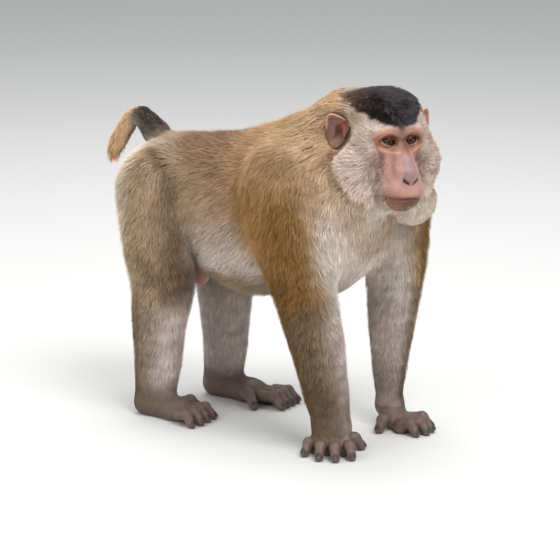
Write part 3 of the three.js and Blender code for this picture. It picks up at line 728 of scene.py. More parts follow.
def net(field, low, high, cell, block=8):
    """Surface nets: a vertex in each cell that the surface crosses, and a quad round each crossed edge.

    Only blocks of cells near the surface are worked out. Returns vertices and outward quads.
    """
    low = np.array(low, float)
    counts = np.ceil((np.array(high) - low) / (cell * block)).astype(int)
    blocks = np.stack(np.meshgrid(*[np.arange(k) for k in counts], indexing="ij"), -1).reshape(-1, 3)
    blocks = blocks[np.abs(field(low + (blocks + 0.5) * cell * block)) < cell * block * 1.3]
    offsets = np.stack(np.meshgrid(*[np.arange(block + 1)] * 3, indexing="ij"), -1).reshape(-1, 3)
    base = blocks * block
    strides = np.array([LATTICE * LATTICE, LATTICE, 1])
    keys = ((base[:, None] + offsets[None]) @ strides).ravel()
    unique, inverse = np.unique(keys, return_inverse=True)
    points = np.stack([unique // strides[0], unique // LATTICE % LATTICE, unique % LATTICE], 1)
    values = np.concatenate([field(low + part * cell)
        for part in np.array_split(points, len(points) // 200000 + 1)])
    grid = values[inverse].reshape(len(blocks), block + 1, block + 1, block + 1)
    bits = [(i, j, k) for i in (0, 1) for j in (0, 1) for k in (0, 1)]
    around = np.stack([grid[:, i:i + block, j:j + block, k:k + block] for i, j, k in bits], -1)
    inside = around < 0
    active = inside.any(-1) & ~inside.all(-1)
    which, *ijk = np.nonzero(active)
    cells = base[which] + np.stack(ijk, 1)
    at = around[active]
    corners = np.array(bits, float)
    total = np.zeros((len(cells), 3))
    count = np.zeros(len(cells))
    for a in range(8):
        for bit in (4, 2, 1):
            if a & bit:
                continue
            va, vb = at[:, a], at[:, a | bit]
            crossed = (va < 0) != (vb < 0)
            t = np.where(crossed, va / np.where(crossed, va - vb, 1), 0)
            total += np.where(crossed[:, None],
                corners[a] + t[:, None] * (corners[a | bit] - corners[a]), 0)
            count += crossed
    vertices = low + (cells + total / count[:, None]) * cell
    cell_keys = cells @ strides
    order = np.argsort(cell_keys)
    ranked = cell_keys[order]
    quads = []
    for axis, bit in enumerate((4, 2, 1)):
        u, v = [(1, 2), (2, 0), (0, 1)][axis]
        rows = np.nonzero((at[:, 0] < 0) != (at[:, bit] < 0))[0]
        key = cell_keys[rows]
        ring = np.stack([key, key - strides[u], key - strides[u] - strides[v], key - strides[v]], 1)
        found = np.clip(np.searchsorted(ranked, ring), 0, len(ranked) - 1)
        whole = (ranked[found] == ring).all(1)
        quad = order[found][whole]
        turned = at[rows[whole], 0] >= 0
        quads.append(np.where(turned[:, None], quad[:, ::-1], quad))
    return vertices, np.concatenate(quads)


def refine(vertices, triangles, length_at):
    """Halves every side longer than length_at(middle); 1, 2 or 3 halved sides make 2, 3 or 4 triangles."""
    count = len(vertices)
    sides = np.sort(triangles[:, [[0, 1], [1, 2], [2, 0]]], -1)
    keys, inverse = np.unique(sides[..., 0] * count + sides[..., 1], return_inverse=True)
    a, b = keys // count, keys % count
    middle = (vertices[a] + vertices[b]) / 2
    halved = np.linalg.norm(vertices[a] - vertices[b], axis=1) > length_at(middle)
    number = np.where(halved, count + np.cumsum(halved) - 1, -1)
    mids = number[inverse.reshape(-1, 3)]
    splits = (mids >= 0).sum(1)
    # turn each triangle so that its one halved side, or its one whole side, comes to a known place
    lead = np.where(splits == 1, np.argmax(mids >= 0, 1),
        np.where(splits == 2, (np.argmin(mids, 1) + 1) % 3, 0))
    turn = (lead[:, None] + np.arange(3)) % 3
    t = np.take_along_axis(triangles, turn, 1)
    m = np.take_along_axis(mids, turn, 1)
    pick = [splits == k for k in range(4)]
    (a1, b1, c1), m1 = t[pick[1]].T, m[pick[1], 0]
    (a2, b2, c2), (m2, n2) = t[pick[2]].T, m[pick[2], :2].T
    (a3, b3, c3), (m3, n3, o3) = t[pick[3]].T, m[pick[3]].T
    made = [
        t[pick[0]], np.stack([a1, m1, c1], 1), np.stack([m1, b1, c1], 1),
        np.stack([m2, b2, n2], 1), np.stack([a2, m2, n2], 1), np.stack([a2, n2, c2], 1),
        np.stack([a3, m3, o3], 1), np.stack([m3, b3, n3], 1),
        np.stack([o3, n3, c3], 1), np.stack([m3, n3, o3], 1),
    ]
    return np.concatenate([vertices, middle[halved]]), np.concatenate(made)


def side_length(p):
    """Longest triangle side wanted: fine on the face, finest at nose and mouth, coarse under the coat."""
    q = to_head(p)
    face = bare_face(q) * (q[:, 1] > -26)
    folds = face * smooth(q[:, 1], 14, 26)
    extremity = smooth(p[:, 2], 52, 40)
    length = 7.6 - 4.0 * extremity
    return np.where(face > 0.05, 2.3 - 0.7 * folds, length)


def skin_surface():
    """The skin as a net of even cells, its bare parts refined and its vertices settled on the surface."""
    vertices, quads = net(skin_field, *SKIN_BOX, SKIN_CELL)
    diagonal = np.linalg.norm(vertices[quads[:, 0]] - vertices[quads[:, 2]], axis=1)
    other = np.linalg.norm(vertices[quads[:, 1]] - vertices[quads[:, 3]], axis=1)
    q = np.where((diagonal > other)[:, None], np.roll(quads, 1, axis=1), quads)
    triangles = np.concatenate([q[:, [0, 1, 2]], q[:, [0, 2, 3]]])
    vertices, _ = settle(skin_field, vertices)
    for _ in range(2):
        vertices, triangles = refine(vertices, triangles, side_length)
        vertices, normals = settle(skin_field, vertices)
    return vertices, triangles, normals


def grid_quads(rows, columns):
    """Quads between neighbouring rows of a grid of vertices, joined round the columns."""
    i, j = np.meshgrid(np.arange(rows - 1), np.arange(columns), indexing="ij")
    i, j = i.ravel(), j.ravel()
    k = (j + 1) % columns
    return np.stack([i * columns + j, i * columns + k, (i + 1) * columns + k, (i + 1) * columns + j], 1)


def shell(rows, columns, turned=False):
    """Quads of a closed shell, and the fans that join its first and last rows to its two poles.

    The poles are the two vertices after the rows. Where turned is true, the faces look the other way, as the
    head's measures need, because their axes are left-handed.
    """
    j = np.arange(columns)
    k = (j + 1) % columns
    end = (rows - 1) * columns
    pole = np.full(columns, rows * columns)
    quads = grid_quads(rows, columns)
    fans = np.concatenate([np.stack([pole, k, j], 1), np.stack([pole + 1, end + j, end + k], 1)])
    return (quads[:, ::-1], fans[:, ::-1]) if turned else (quads, fans)


LID_COLUMNS = 72


def lids(side):
    """Both lids of one eye as one ring round the opening.

    Columns go round the eye by angle a; rows go from inside the opening, over the rounded margin and the
    lid's bulge on a sphere round the eyeball, to an ellipse that lies on the face. The opening is an almond:
    8.8 cos a wide and |sin a|^1.25 high, its outer corner 4.8 higher than its inner one.
    """
    a = np.arange(LID_COLUMNS) * 2 * math.pi / LID_COLUMNS
    cos, sin = np.cos(a), np.sin(a)
    out = side * cos
    high = np.where(sin > 0, 4.9, 4.2) * np.sign(sin) * np.abs(sin) ** 1.25
    inner = np.stack([8.8 * cos, high + 2.4 * out], 1)
    outer = np.stack([15.5 * cos, np.where(sin > 0, 11.6, 12.4) * sin - 0.3 + 1.0 * out], 1)
    rows = np.array([0, 0, 0.02, 0.05, 0.09, 0.14, 0.2, 0.27, 0.34, 0.42, 0.5, 0.58, 0.66, 0.74, 0.82, 0.9,
        1.0])
    radii = np.array([9.2, 10.25, 10.75, 11.0, 11.15, 11.25, 11.35, 11.4, 11.4, 11.4, 11.4] + [11.4] * 6)
    plan = inner[None] * (1 - rows[:, None, None]) + outer[None] * rows[:, None, None]
    flat = np.linalg.norm(plan, axis=-1)
    globe = -EYE_DEPTH + np.sqrt(np.maximum(radii[:, None] ** 2 - flat**2, 0.5))
    start = np.stack([plan[..., 0] + side * EYE_SPREAD, np.full(flat.shape, 4.0), plan[..., 1]],
        -1).reshape(-1, 3)
    face_f = forward_hit(start).reshape(flat.shape)
    share = smooth(rows, 0.16, 0.62)[:, None] * np.ones_like(flat)
    upper = smooth(sin, -0.2, 0.4)[None]
    crease = (
        1.3 * bump(rows[:, None] - 0.30, 0.06) * upper
        + 0.8 * bump(rows[:, None] - 0.36, 0.06) * (1 - upper)
    )
    pouch = (
        0.9 * bump(rows[:, None] - 0.18, 0.09) * (1 - upper)
        + 0.5 * bump(rows[:, None] - 0.14, 0.07) * upper
    )
    f = globe * (1 - share) + face_f * share - crease + pouch
    f[-1] -= 0.6
    f[-2] -= 0.05
    q = np.stack([plan[..., 0] + side * EYE_SPREAD, f, plan[..., 1]], -1).reshape(-1, 3)
    return from_head(q), grid_quads(len(rows), LID_COLUMNS)[:, ::-1]


def forward_hit(start):
    """Forward measure where a line along the head's forward axis meets the face, its eyes closed."""
    q = start.copy()
    for _ in range(12):
        q[:, 1] -= np.clip(skin_field(from_head(q), open_eyes=False) * 0.8, -3, 3)
    return q[:, 1]


EAR_COLUMNS = 84
# Outline of an ear from its middle: angle from straight ahead over the top, and distance to the rim.
EAR_ANGLES = [0, 20, 38, 62, 90, 108, 118, 128, 145, 169, 195, 220, 250, 268, 286, 315, 340, 360]
EAR_RADII = [14, 17, 20.5, 20, 22, 25, 26, 23, 18, 15, 14.6, 16, 22, 24.5, 19, 14, 13, 14]


def ear(side):
    """One ear as a closed cupped shell.

    Columns go round the rim by angle a, rows from the middle to the rim on the front and back again behind.
    The cup is 6.5 (1 - t^2) deep, its rim rolls forward over a groove, a ridge and its fork stand in the
    hollow behind a deep pit, a small flap stands before the pit, and ahead of that the ear bends back.
    """
    a = np.arange(EAR_COLUMNS) * 2 * math.pi / EAR_COLUMNS
    front = np.array([0.04, 0.12, 0.2, 0.28, 0.36, 0.44, 0.5, 0.56, 0.62, 0.68, 0.74, 0.8, 0.85, 0.9, 0.94,
        0.97, 1.0])
    t = np.concatenate([front, front[::-1]])[:, None]
    behind = (np.arange(len(t)) >= len(front))[:, None]
    rim = np.interp(np.degrees(a), EAR_ANGLES, EAR_RADII)
    rim = sum(np.roll(rim, k) for k in range(-2, 3)) / 5
    along = np.cos(a) * rim * t
    upward = np.sin(a) * rim * t
    cup = 6.5 * (1 - t**2)
    roll = 2.6 * bump(t - 0.93, 0.06) * (0.35 + 0.65 * smooth(np.sin(a), -0.7, 0.2))
    groove = 1.3 * bump(t - 0.80, 0.05) * smooth(np.sin(a), -0.6, 0.1)
    ridge = 2.6 * bump(along + 4.5 - 0.12 * upward, 2.0) * smooth(upward, -13, -6) * smooth(upward, 14, 7)
    fork = 1.5 * bump(upward - 9 - 0.5 * along, 1.8) * smooth(along, -5, -1) * smooth(along, 12, 7)
    pit = 5.0 * bump(np.hypot((along - 1.5) / 4.6, (upward + 4) / 9.0), 1.0)
    tragus = 4.2 * bump(np.hypot((along - 8.5) / 3.4, (upward + 4) / 5.5), 1.0)
    lobe = 2.2 * bump(np.hypot((along + 1) / 6, (upward + 19) / 5), 1.0)
    inside = -cup + roll - groove + ridge + fork - pit + tragus + lobe
    thickness = 1.7 + 1.8 * (1 - t**2)
    edge = np.sqrt(np.clip(1 - t**2, 0, 1)) * 0.9 + 0.1
    outside = -cup + roll * 0.8 - pit * 0.8 + lobe * 0.7 - thickness * edge
    depth = np.where(behind, outside, inside) - 0.11 * np.clip(along - 1, 0, 30) ** 1.6
    opening = unit(np.array([side * 0.62, 0.78, 0.1]))
    ahead = unit(np.array([-side * opening[1], side * opening[0], 0]))
    root = np.array([side * 58, -78, 5.0])
    q = root + along[..., None] * ahead + upward[..., None] * UP + (depth + 7.2)[..., None] * opening
    poles = np.stack([q[0].mean(0), q[-1].mean(0)])
    quads, fans = shell(len(t), EAR_COLUMNS, side < 0)
    hollow = bump(np.hypot((along - 2.5) / 6.5, (upward - 1) / 11.0), 1.0)
    shade = np.where(behind, 0, 1.3 * hollow + 0.35 * bump(t - 0.80, 0.06))
    glow = np.where(behind, 0.2, smooth(t, 0.76, 0.90)) * smooth(upward - 0.5 * along, 6, 13)
    warm = smooth(along - 0.2 * upward, -3, 4) * smooth(upward, -9, 3)
    values = np.stack([
        np.concatenate([shade.ravel(), [0.5, 0]]), np.concatenate([glow.ravel(), [0, 0.5]]),
        np.concatenate([warm.ravel(), [0.5, 0]]),
    ])
    return from_head(np.concatenate([q.reshape(-1, 3), poles])), quads, fans, values


# ---------------------------------------------------------------- from arrays to Blender
def make_piece(name, vertices, face_sets, material, replaces=()):
    """A mesh object from vertices in body measures and arrays of triangles or quads, riding on the root."""
    mesh = bpy.data.meshes.new(name)
    points = ((vertices + SHIFT) * MM).astype(np.float32)
    loops = np.concatenate([faces.ravel() for faces in face_sets]).astype(np.int32)
    sizes = np.concatenate([np.full(len(faces), faces.shape[1]) for faces in face_sets]).astype(np.int32)
    mesh.vertices.add(len(points))
    mesh.vertices.foreach_set("co", points.ravel())
    mesh.loops.add(len(loops))
    mesh.loops.foreach_set("vertex_index", loops)
    mesh.polygons.add(len(sizes))
    mesh.polygons.foreach_set("loop_start", np.cumsum(sizes) - sizes)
    mesh.polygons.foreach_set("use_smooth", np.ones(len(sizes), bool))
    mesh.update(calc_edges=True)
    mesh.materials.append(material)
    piece = bpy.data.objects.new(name, mesh)
    bpy.context.scene.collection.objects.link(piece)
    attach(piece, "root")
    if replaces:
        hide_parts(*replaces)
    return piece


def set_values(piece, name, values):
    """Stores one number for each vertex, or one colour where values has three columns."""
    if values.ndim == 1:
        layer = piece.data.attributes.new(name, "FLOAT", "POINT")
        layer.data.foreach_set("value", values.astype(np.float32))
        return
    layer = piece.data.attributes.new(name, "FLOAT_COLOR", "POINT")
    full = np.concatenate([values, np.ones((len(values), 1))], 1)
    layer.data.foreach_set("color", full.astype(np.float32).ravel())


# ---------------------------------------------------------------- coat
DRAWS_PER_ROOT = 2.6
CUBE_STRIDES = np.array([10**8, 10**4, 1])  # number a cube of tuft spacing from its place, 500 to each side


class Skin:
    """The skin's arrays and what the coat needs to know at each of its points."""

    def __init__(self, vertices, triangles, normals):
        self.vertices = vertices
        self.triangles = triangles
        self.normals = normals
        corners = vertices[triangles]
        cross = np.cross(corners[:, 1] - corners[:, 0], corners[:, 2] - corners[:, 0])
        self.areas = np.linalg.norm(cross, axis=1) / 2

    def scatter(self, spacing_at, seed):
        """Roots about spacing_at(point) apart: random points of the surface, one kept in each such cube."""
        rng = np.random.default_rng(seed)
        middle = self.vertices[self.triangles].mean(1)
        spacing = spacing_at(middle)
        wanted = np.where(np.isfinite(spacing), DRAWS_PER_ROOT * self.areas / spacing**2, 0)
        total = np.cumsum(wanted)
        draw = rng.uniform(0, total[-1], int(total[-1]))
        face = np.minimum(np.searchsorted(total, draw), len(total) - 1)
        u, v = rng.uniform(size=(2, len(face)))
        over_edge = u + v > 1
        u, v = np.where(over_edge, 1 - u, u), np.where(over_edge, 1 - v, v)
        share = np.stack([1 - u - v, u, v], 1)[..., None]
        points = (self.vertices[self.triangles[face]] * share).sum(1)
        normals = unit((self.normals[self.triangles[face]] * share).sum(1))
        cube = np.floor(points / (spacing[face, None] * 1.02) + rng.uniform(size=3)).astype(int) + 500
        _, keep = np.unique(cube @ CUBE_STRIDES, return_index=True)
        keep = keep[rng.permutation(len(keep))]
        return points[keep], normals[keep], rng


LOCK_SEED = 77


def locks(skin, p, way, rng):
    """The lock of each tuft: of sparse middles, the nearest to its root moved along the coat.

    The root moves by up to 11 either way, and 5 on the head. Gives the middle of the lock and the lock's own
    chance from 0 to 1.
    """
    middles = skin.scatter(lambda m: 5.2 - 2.4 * shares(m)[:, HEAD], LOCK_SEED)[0]
    tree = KDTree(len(middles))
    for i, point in enumerate(middles):
        tree.insert(point, i)
    tree.balance()
    reach = (11 - 6 * shares(p)[:, HEAD]) * rng.uniform(-1, 1, len(p))
    picked = np.array([tree.find(point)[1] for point in p + way * reach[:, None]])
    return middles[picked], rng.uniform(size=len(middles))[picked]


def tuft_mesh(p, n, way, length, width, rise, hold, rings, rng, height):
    """Tufts as thin three-sided blades that taper to a point along the coat.

    A ring at share s of the length stands at p + way * length * s, bent aside a little as s^2 and moved
    along the normal, down by hold at most, until its height over the skin is rise * (1 - (1 - s)^2.4). Its
    three corners are the two edges and a low ridge. height(q) gives the height over the skin at q.
    """
    m = len(p)
    side = unit(np.cross(n, way))
    curl = rng.normal(0, 0.10, m)[:, None]
    shares_along = np.array([[0.0], [0.0, 0.5]][rings - 1])
    widths = np.array([[1.15], [1.0, 0.8]][rings - 1])
    rows, tops = [], []
    for s, share_of_width in zip([*shares_along, 1.0], [*widths, 0]):
        q = p + way * (length * s)[:, None] + side * curl * (length * s * s)[:, None]
        if s > 0:
            wanted = rise * (1 - (1 - s) ** 2.4)
            q = q + n * np.clip(wanted - height(q), -hold, 14)[:, None]
        else:
            q = q - n * 0.5
        if share_of_width == 0:
            rows.append(q)
            tops.append(n)
            continue
        half = side * (width * share_of_width / 2)[:, None]
        ridge = n * (width * share_of_width * 0.34)[:, None]
        rows += [q - half, q + ridge, q + half]
        tops += [unit(n - 0.55 * side), unit(n), unit(n + 0.55 * side)]
    per = 3 * rings + 1
    vertices = np.stack(rows, 1).reshape(-1, 3)
    normals = np.stack(tops, 1).reshape(-1, 3)
    quads, triangles = [], [[0, 1, 2]]
    for r in range(rings - 1):
        for k in range(3):
            a, b = 3 * r + k, 3 * r + (k + 1) % 3
            quads.append([a, a + 3, b + 3, b])
    last = 3 * (rings - 1)
    for k in range(3):
        triangles.append([last + k, per - 1, last + (k + 1) % 3])
    start = (np.arange(m) * per)[:, None, None]
    quads = (start + np.array(quads)[None]).reshape(-1, 4)
    triangles = (start + np.array(triangles)[None]).reshape(-1, 3)
    return vertices, normals, quads, triangles, per


def unwrap(p, q, region):
    """Place of each point on a flat layout of the region's own shape, both measures from 0 to 1.

    The trunk and tail turn round an axis along the body, each limb turns round its own upright axis, and the
    head turns round an axis from the nose to the nape.
    """
    x, y, z = p.T
    if region == "head":
        return np.stack([np.arctan2(q[:, 0], q[:, 2] + 10) / (2 * math.pi) + 0.5, (q[:, 1] + 150) / 210], 1)
    if region in ("trunk", "tail"):
        tail = np.interp(y, [190, 222, 245, 272, 295], [350, 394, 409, 389, 350])
        middle = 300 if region == "trunk" else tail
        return np.stack([np.arctan2(x, z - middle) / (2 * math.pi) + 0.5, (y + 250) / 560], 1)
    axis = np.array(LIMBS[region][0], float)[::-1]
    cx = np.interp(z, axis[:, 2], axis[:, 0])
    cy = np.interp(z, axis[:, 2], axis[:, 1])
    return np.stack([np.arctan2(x - cx, y - cy) / (2 * math.pi) + 0.5, z / 440], 1)


PATCH = 0.003


def add_patches(piece, places, per):
    """UV map OFBake: each tuft is a patch 0.003 across at its root's place, its blade running up it."""
    mesh = piece.data
    layer = mesh.uv_layers.new(name="OFBake")
    places = PATCH + np.clip(places, 0, 1) * (1 - 3 * PATCH)
    slot_in_tuft = np.arange(per)
    across = np.where(slot_in_tuft == per - 1, 0.5, (slot_in_tuft % 3) / 2) * PATCH
    along = (slot_in_tuft // 3) / ((per - 1) // 3) * PATCH
    uv = places[:, None] + np.stack([across, along], 1)[None]
    corner = np.empty(len(mesh.loops), np.int32)
    mesh.loops.foreach_get("vertex_index", corner)
    layer.data.foreach_set("uv", uv.reshape(-1, 2)[corner].astype(np.float32).ravel())


def region_of(w):
    """The region each point belongs to: the part with the greatest share, the neck going with the trunk."""
    return np.array(["trunk", "trunk", *LIMBS, "tail", "head"])[np.argmax(w, 1)]


def hair_length(p, w, q):
    """Length of the hair: long on shoulders and flanks, short down the limbs, shortest at face and hands."""
    z = p[:, 2]
    arm = 7 + 6 * smooth(z, 60, 170) + 11 * smooth(z, 180, 320)
    leg = 7 + 6 * smooth(z, 60, 150) + 10 * smooth(z, 160, 290)
    body = 25 + 8 * smooth(z, 300, 240) + 5 * smooth(p[:, 1], -40, -110)
    out = 1 - bare_face(q)
    rim = (
        smooth(np.maximum(np.abs(q[:, 0]) - 34, np.abs(q[:, 2] + 12) - 34), 0, 24)
        * smooth(q[:, 1], 12, -24)
    )
    cap = smooth(cap_edge(q), 0, 6) * smooth(q[:, 1], -104, -78)
    flap = 10 * spot(mirrored(q), (50, -58, 5), (10, 10, 22))
    skull = (3.0 + 2.4 * out + flap) * (1 - cap) + 13 * rim * (1 - cap) + 12.0 * cap
    brush = 12 + 9 * smooth(p[:, 1], 262, 285)
    lengths = np.stack([body, np.full(len(p), 25.0), arm, arm, leg, leg, brush, skull], 1)
    length = (w * lengths).sum(1)
    pads = np.minimum(seat_pads(p), seat_pads(p - np.array([0, 0, 12.0])))
    bare_parts = (0.3 + 0.7 * smooth(pads, 0, 14)) * (1 - 0.55 * smooth(limb(p, SAC), 18, 5))
    return length * (0.42 + 0.58 * smooth(z, 18, 60)) * bare_parts


def spacing_of(p, w, q):
    """Distance between tufts: close on the head, wider on the trunk, and endless where no hair grows.

    That is on the middle of the face, the scrotum, the digits and soles, the seat pads and the ears' roots.
    """
    widths = np.array([1.66, 1.62, 1.34, 1.34, 1.42, 1.42, 1.4, 1.24])
    spacing = (w * widths).sum(1)
    muzzle = (np.abs(q[:, 0]) > 12) & (q[:, 2] < -24) | (q[:, 2] < -80)
    bare = (bare_face(q) > np.where(muzzle, 2, 0.86)) & (q[:, 1] > -30)
    sac = limb(p, SAC) < 3
    paw = paw_share(p) > 0.6
    ears = np.minimum(ear_near(q, -1), ear_near(q, 1)) < 0
    return np.where(bare | sac | paw | ears | (seat_pads(p) < 1), np.inf, spacing)


def ear_near(q, side):
    """Below 0 at the root of an ear, where no coat grows."""
    return ball(q, (side * 54, -82, 4), (12, 11, 19))


# ---------------------------------------------------------------- shader expressions
class Socket:
    """A shader value that can be added, taken away and multiplied."""

    def __init__(self, tree, socket):
        self.tree = tree
        self.socket = socket

    def node(self, kind, settings=None, inputs=None, output=0):
        """Adds a node of a kind, applies its settings, then gives its sockets values or links."""
        made = self.tree.nodes.new(kind)
        for key, value in (settings or {}).items():
            setattr(made, key, value)
        for key, value in (inputs or {}).items():
            if isinstance(value, Socket):
                self.tree.links.new(value.socket, made.inputs[key])
            else:
                made.inputs[key].default_value = value
        return Socket(self.tree, made.outputs[output])

    def maths(self, operation, first, second):
        """A Math node on two values."""
        return self.node("ShaderNodeMath", {"operation": operation}, {0: first, 1: second})

    def __add__(self, other):
        return self.maths("ADD", self, other)

    def __sub__(self, other):
        return self.maths("SUBTRACT", self, other)

    def __rsub__(self, other):
        return self.maths("SUBTRACT", other, self)

    def __mul__(self, other):
        return self.maths("MULTIPLY", self, other)

    __radd__ = __add__
    __rmul__ = __mul__

    def step(self, low, high):
        """0 below low and 1 above high, with a soft step between."""
        return self.node("ShaderNodeMapRange", {"interpolation_type": "SMOOTHSTEP"},
                         {"Value": self, "From Min": low, "From Max": high})

    def mix(self, other, share):
        """This colour with another laid over it by share."""
        return self.node("ShaderNodeMix", {"data_type": "RGBA"},
                         {0: share, 6: self, 7: other}, output=2)

    def scaled(self, factor):
        """This colour times a number."""
        return self.node("ShaderNodeVectorMath", {"operation": "SCALE"}, {0: self, "Scale": factor})


class Finish:
    """A material with a Principled shader: constants are set on its sockets, varying values are linked."""

    def __init__(self, name, **constants):
        self.material = bpy.data.materials.new(name)
        self.material.use_nodes = True
        self.tree = self.material.node_tree
        self.shader = self.tree.nodes["Principled BSDF"]
        for key, value in constants.items():
            self.shader.inputs[key.replace("_", " ")].default_value = value
        start = self.tree.nodes.new("ShaderNodeTexCoord")
        self.place = Socket(self.tree, start.outputs["Object"])

    def read(self, name, output="Fac"):
        """A vertex attribute: Fac for a number, Color for a colour."""
        made = self.tree.nodes.new("ShaderNodeAttribute")
        made.attribute_name = name
        return Socket(self.tree, made.outputs[output])

    def noise(self, scale, detail=4.0, roughness=0.55, place=None):
        """Noise from 0 to 1 in object space, scale in turns per metre."""
        return self.place.node("ShaderNodeTexNoise", {}, {
            "Vector": place or self.place, "Scale": scale, "Detail": detail, "Roughness": roughness,
        })

    def plain(self, red, green, blue):
        """A constant colour."""
        made = self.tree.nodes.new("ShaderNodeRGB")
        made.outputs[0].default_value = (red, green, blue, 1)
        return Socket(self.tree, made.outputs[0])

    def cells(self, scale):
        """Distance to the nearest of scattered points in object space."""
        return self.place.node("ShaderNodeTexVoronoi", {}, {"Vector": self.place, "Scale": scale})

    def stretched(self, x, y, z):
        """The place with its axes scaled, for streaks."""
        return self.place.node("ShaderNodeMapping", {}, {"Vector": self.place, "Scale": (x, y, z)})

    def set(self, **links):
        """Links varying values to the shader's sockets."""
        for key, value in links.items():
            self.tree.links.new(value.socket, self.shader.inputs[key.replace("_", " ")])
        return self

    def bump(self, height, distance, strength=1.0):
        """Links a height map, in metres of distance, to the shader's normal."""
        made = height.node("ShaderNodeBump", {},
            {"Height": height, "Distance": distance, "Strength": strength})
        self.tree.links.new(made.socket, self.shader.inputs["Normal"])
        return self


def skin_finish():
    """Skin: its marking colour, mottled, darkened by painted shade in the folds, with pores and creases,
    satin where bare.
    """
    f = Finish("skin_and_undercoat", Subsurface_Weight=0.0, Specular_IOR_Level=0.38)
    tone = f.read("tone", "Color")
    bare = f.read("bare")
    fold = f.read("fold")
    mottle = f.noise(90, 5).step(0.3, 0.72)
    blotch = f.noise(28, 3).step(0.35, 0.7)
    veins = f.noise(420, 3).step(0.35, 0.65)
    shade = 0.84 + 0.18 * mottle + 0.10 * blotch
    flesh = tone.scaled(shade)
    redder = flesh.mix((0.42, 0.14, 0.10, 1), veins * bare * 0.12)
    # painted shade: nearly black in the mouth's line, the nostrils and the ears' hollows
    shaded_in_folds = redder.mix((0.10, 0.035, 0.025, 1), (fold * 0.75).step(0.02, 1.0) * 0.8)
    grain = f.noise(700, 4, place=f.stretched(1, 0.35, 0.35)).step(0.25, 0.75)
    under = tone.scaled(0.62 + 0.34 * grain)
    f.set(Base_Color=under.mix(shaded_in_folds, bare.step(0.25, 0.75)),
        Roughness=0.74 - 0.22 * bare - 0.06 * mottle * bare)
    pores = 1 - f.cells(1100).step(0.0, 0.35)
    wrinkles = f.noise(260, 5, 0.65, place=f.stretched(1.0, 1.0, 2.2)).step(0.25, 0.75)
    relief = (1 - 0.5 * pores) * 0.35 + wrinkles * 0.65
    return f.bump(relief * bare + grain * (1 - bare) * 2.4 + 0.25 * mottle, 0.0005, 0.45).material


def coat_finish():
    """Hair: its marking colour, darker at the root, lighter at the tip, each tuft a little different."""
    f = Finish("coat_hair", Specular_IOR_Level=0.06)
    tone = f.read("tone", "Color")
    along = f.read("along")
    chance = f.read("chance")
    patch = f.noise(55, 3).step(0.3, 0.7)
    across = f.read("across")
    # each tuft reads its own place in the noise, so that fine strands run up it
    own = {"X": across * 2.6 + chance * 37, "Y": along * 1.1, "Z": chance * 91}
    strands = f.noise(1.0, 3, place=across.node("ShaderNodeCombineXYZ", {}, own)).step(0.3, 0.7)
    light = 0.72 + 0.34 * along + 0.24 * (chance - 0.5) + 0.12 * (patch - 0.5) + 0.30 * (strands - 0.5)
    hair = tone.scaled(light)
    pale = chance.step(0.82, 0.97) * along.step(0.35, 0.9) * 0.5
    golden = hair.mix((0.60, 0.44, 0.26, 1), pale * f.read("agouti"))
    f.set(Base_Color=golden, Roughness=0.70 - 0.10 * along)
    return f.material


def eye_finish():
    """Eyeball: black pupil, amber-brown iris with fibres and a dark rim, brown white, under a wet coat."""
    f = Finish("eyeball", Roughness=0.07, Coat_Weight=0.12, Coat_Roughness=0.02, Specular_IOR_Level=0.22)
    ring = f.read("from_axis")
    fibres = f.read("fibre")
    iris = f.plain(0.060, 0.030, 0.012).mix((0.13, 0.072, 0.028, 1), fibres * ring.step(5.4, 2.6) * 0.85)
    rim = iris.mix((0.010, 0.006, 0.004, 1), ring.step(4.6, 5.7))
    pupil = rim.mix((0.002, 0.002, 0.002, 1), ring.step(2.55, 2.1))
    f.set(Base_Color=pupil.mix((0.060, 0.030, 0.018, 1), ring.step(5.9, 6.8)))
    return f.material


def nail_finish():
    """Nails: dark horn, paler towards the tip, with fine lengthwise ridges."""
    f = Finish("nail_horn", Specular_IOR_Level=0.5)
    along = f.read("along")
    ridges = f.noise(1500, 2, place=f.stretched(1, 0.12, 1)).step(0.3, 0.7)
    horn = f.plain(0.035, 0.026, 0.024).mix((0.16, 0.12, 0.10, 1), along.step(0.72, 1.0) * 0.8)
    f.set(Base_Color=horn, Roughness=0.36 + 0.16 * ridges)
    return f.bump(ridges, 0.0002, 0.5).material


def floor_finish():
    """Stage: plain pale matt floor."""
    f = Finish("plain_floor", Roughness=0.9, Specular_IOR_Level=0.2)
    f.shader.inputs["Base Color"].default_value = (0.72, 0.71, 0.69, 1)
    return f.material


# ---------------------------------------------------------------- what a user may change
def tint(name, description, *rgb):
    """A colour property whose default is given in 8-bit display values."""
    return bpy.props.FloatVectorProperty(
        name=name, description=description, default=tuple(colour(*rgb)), size=3, min=0, max=1,
        subtype="COLOR",
    )


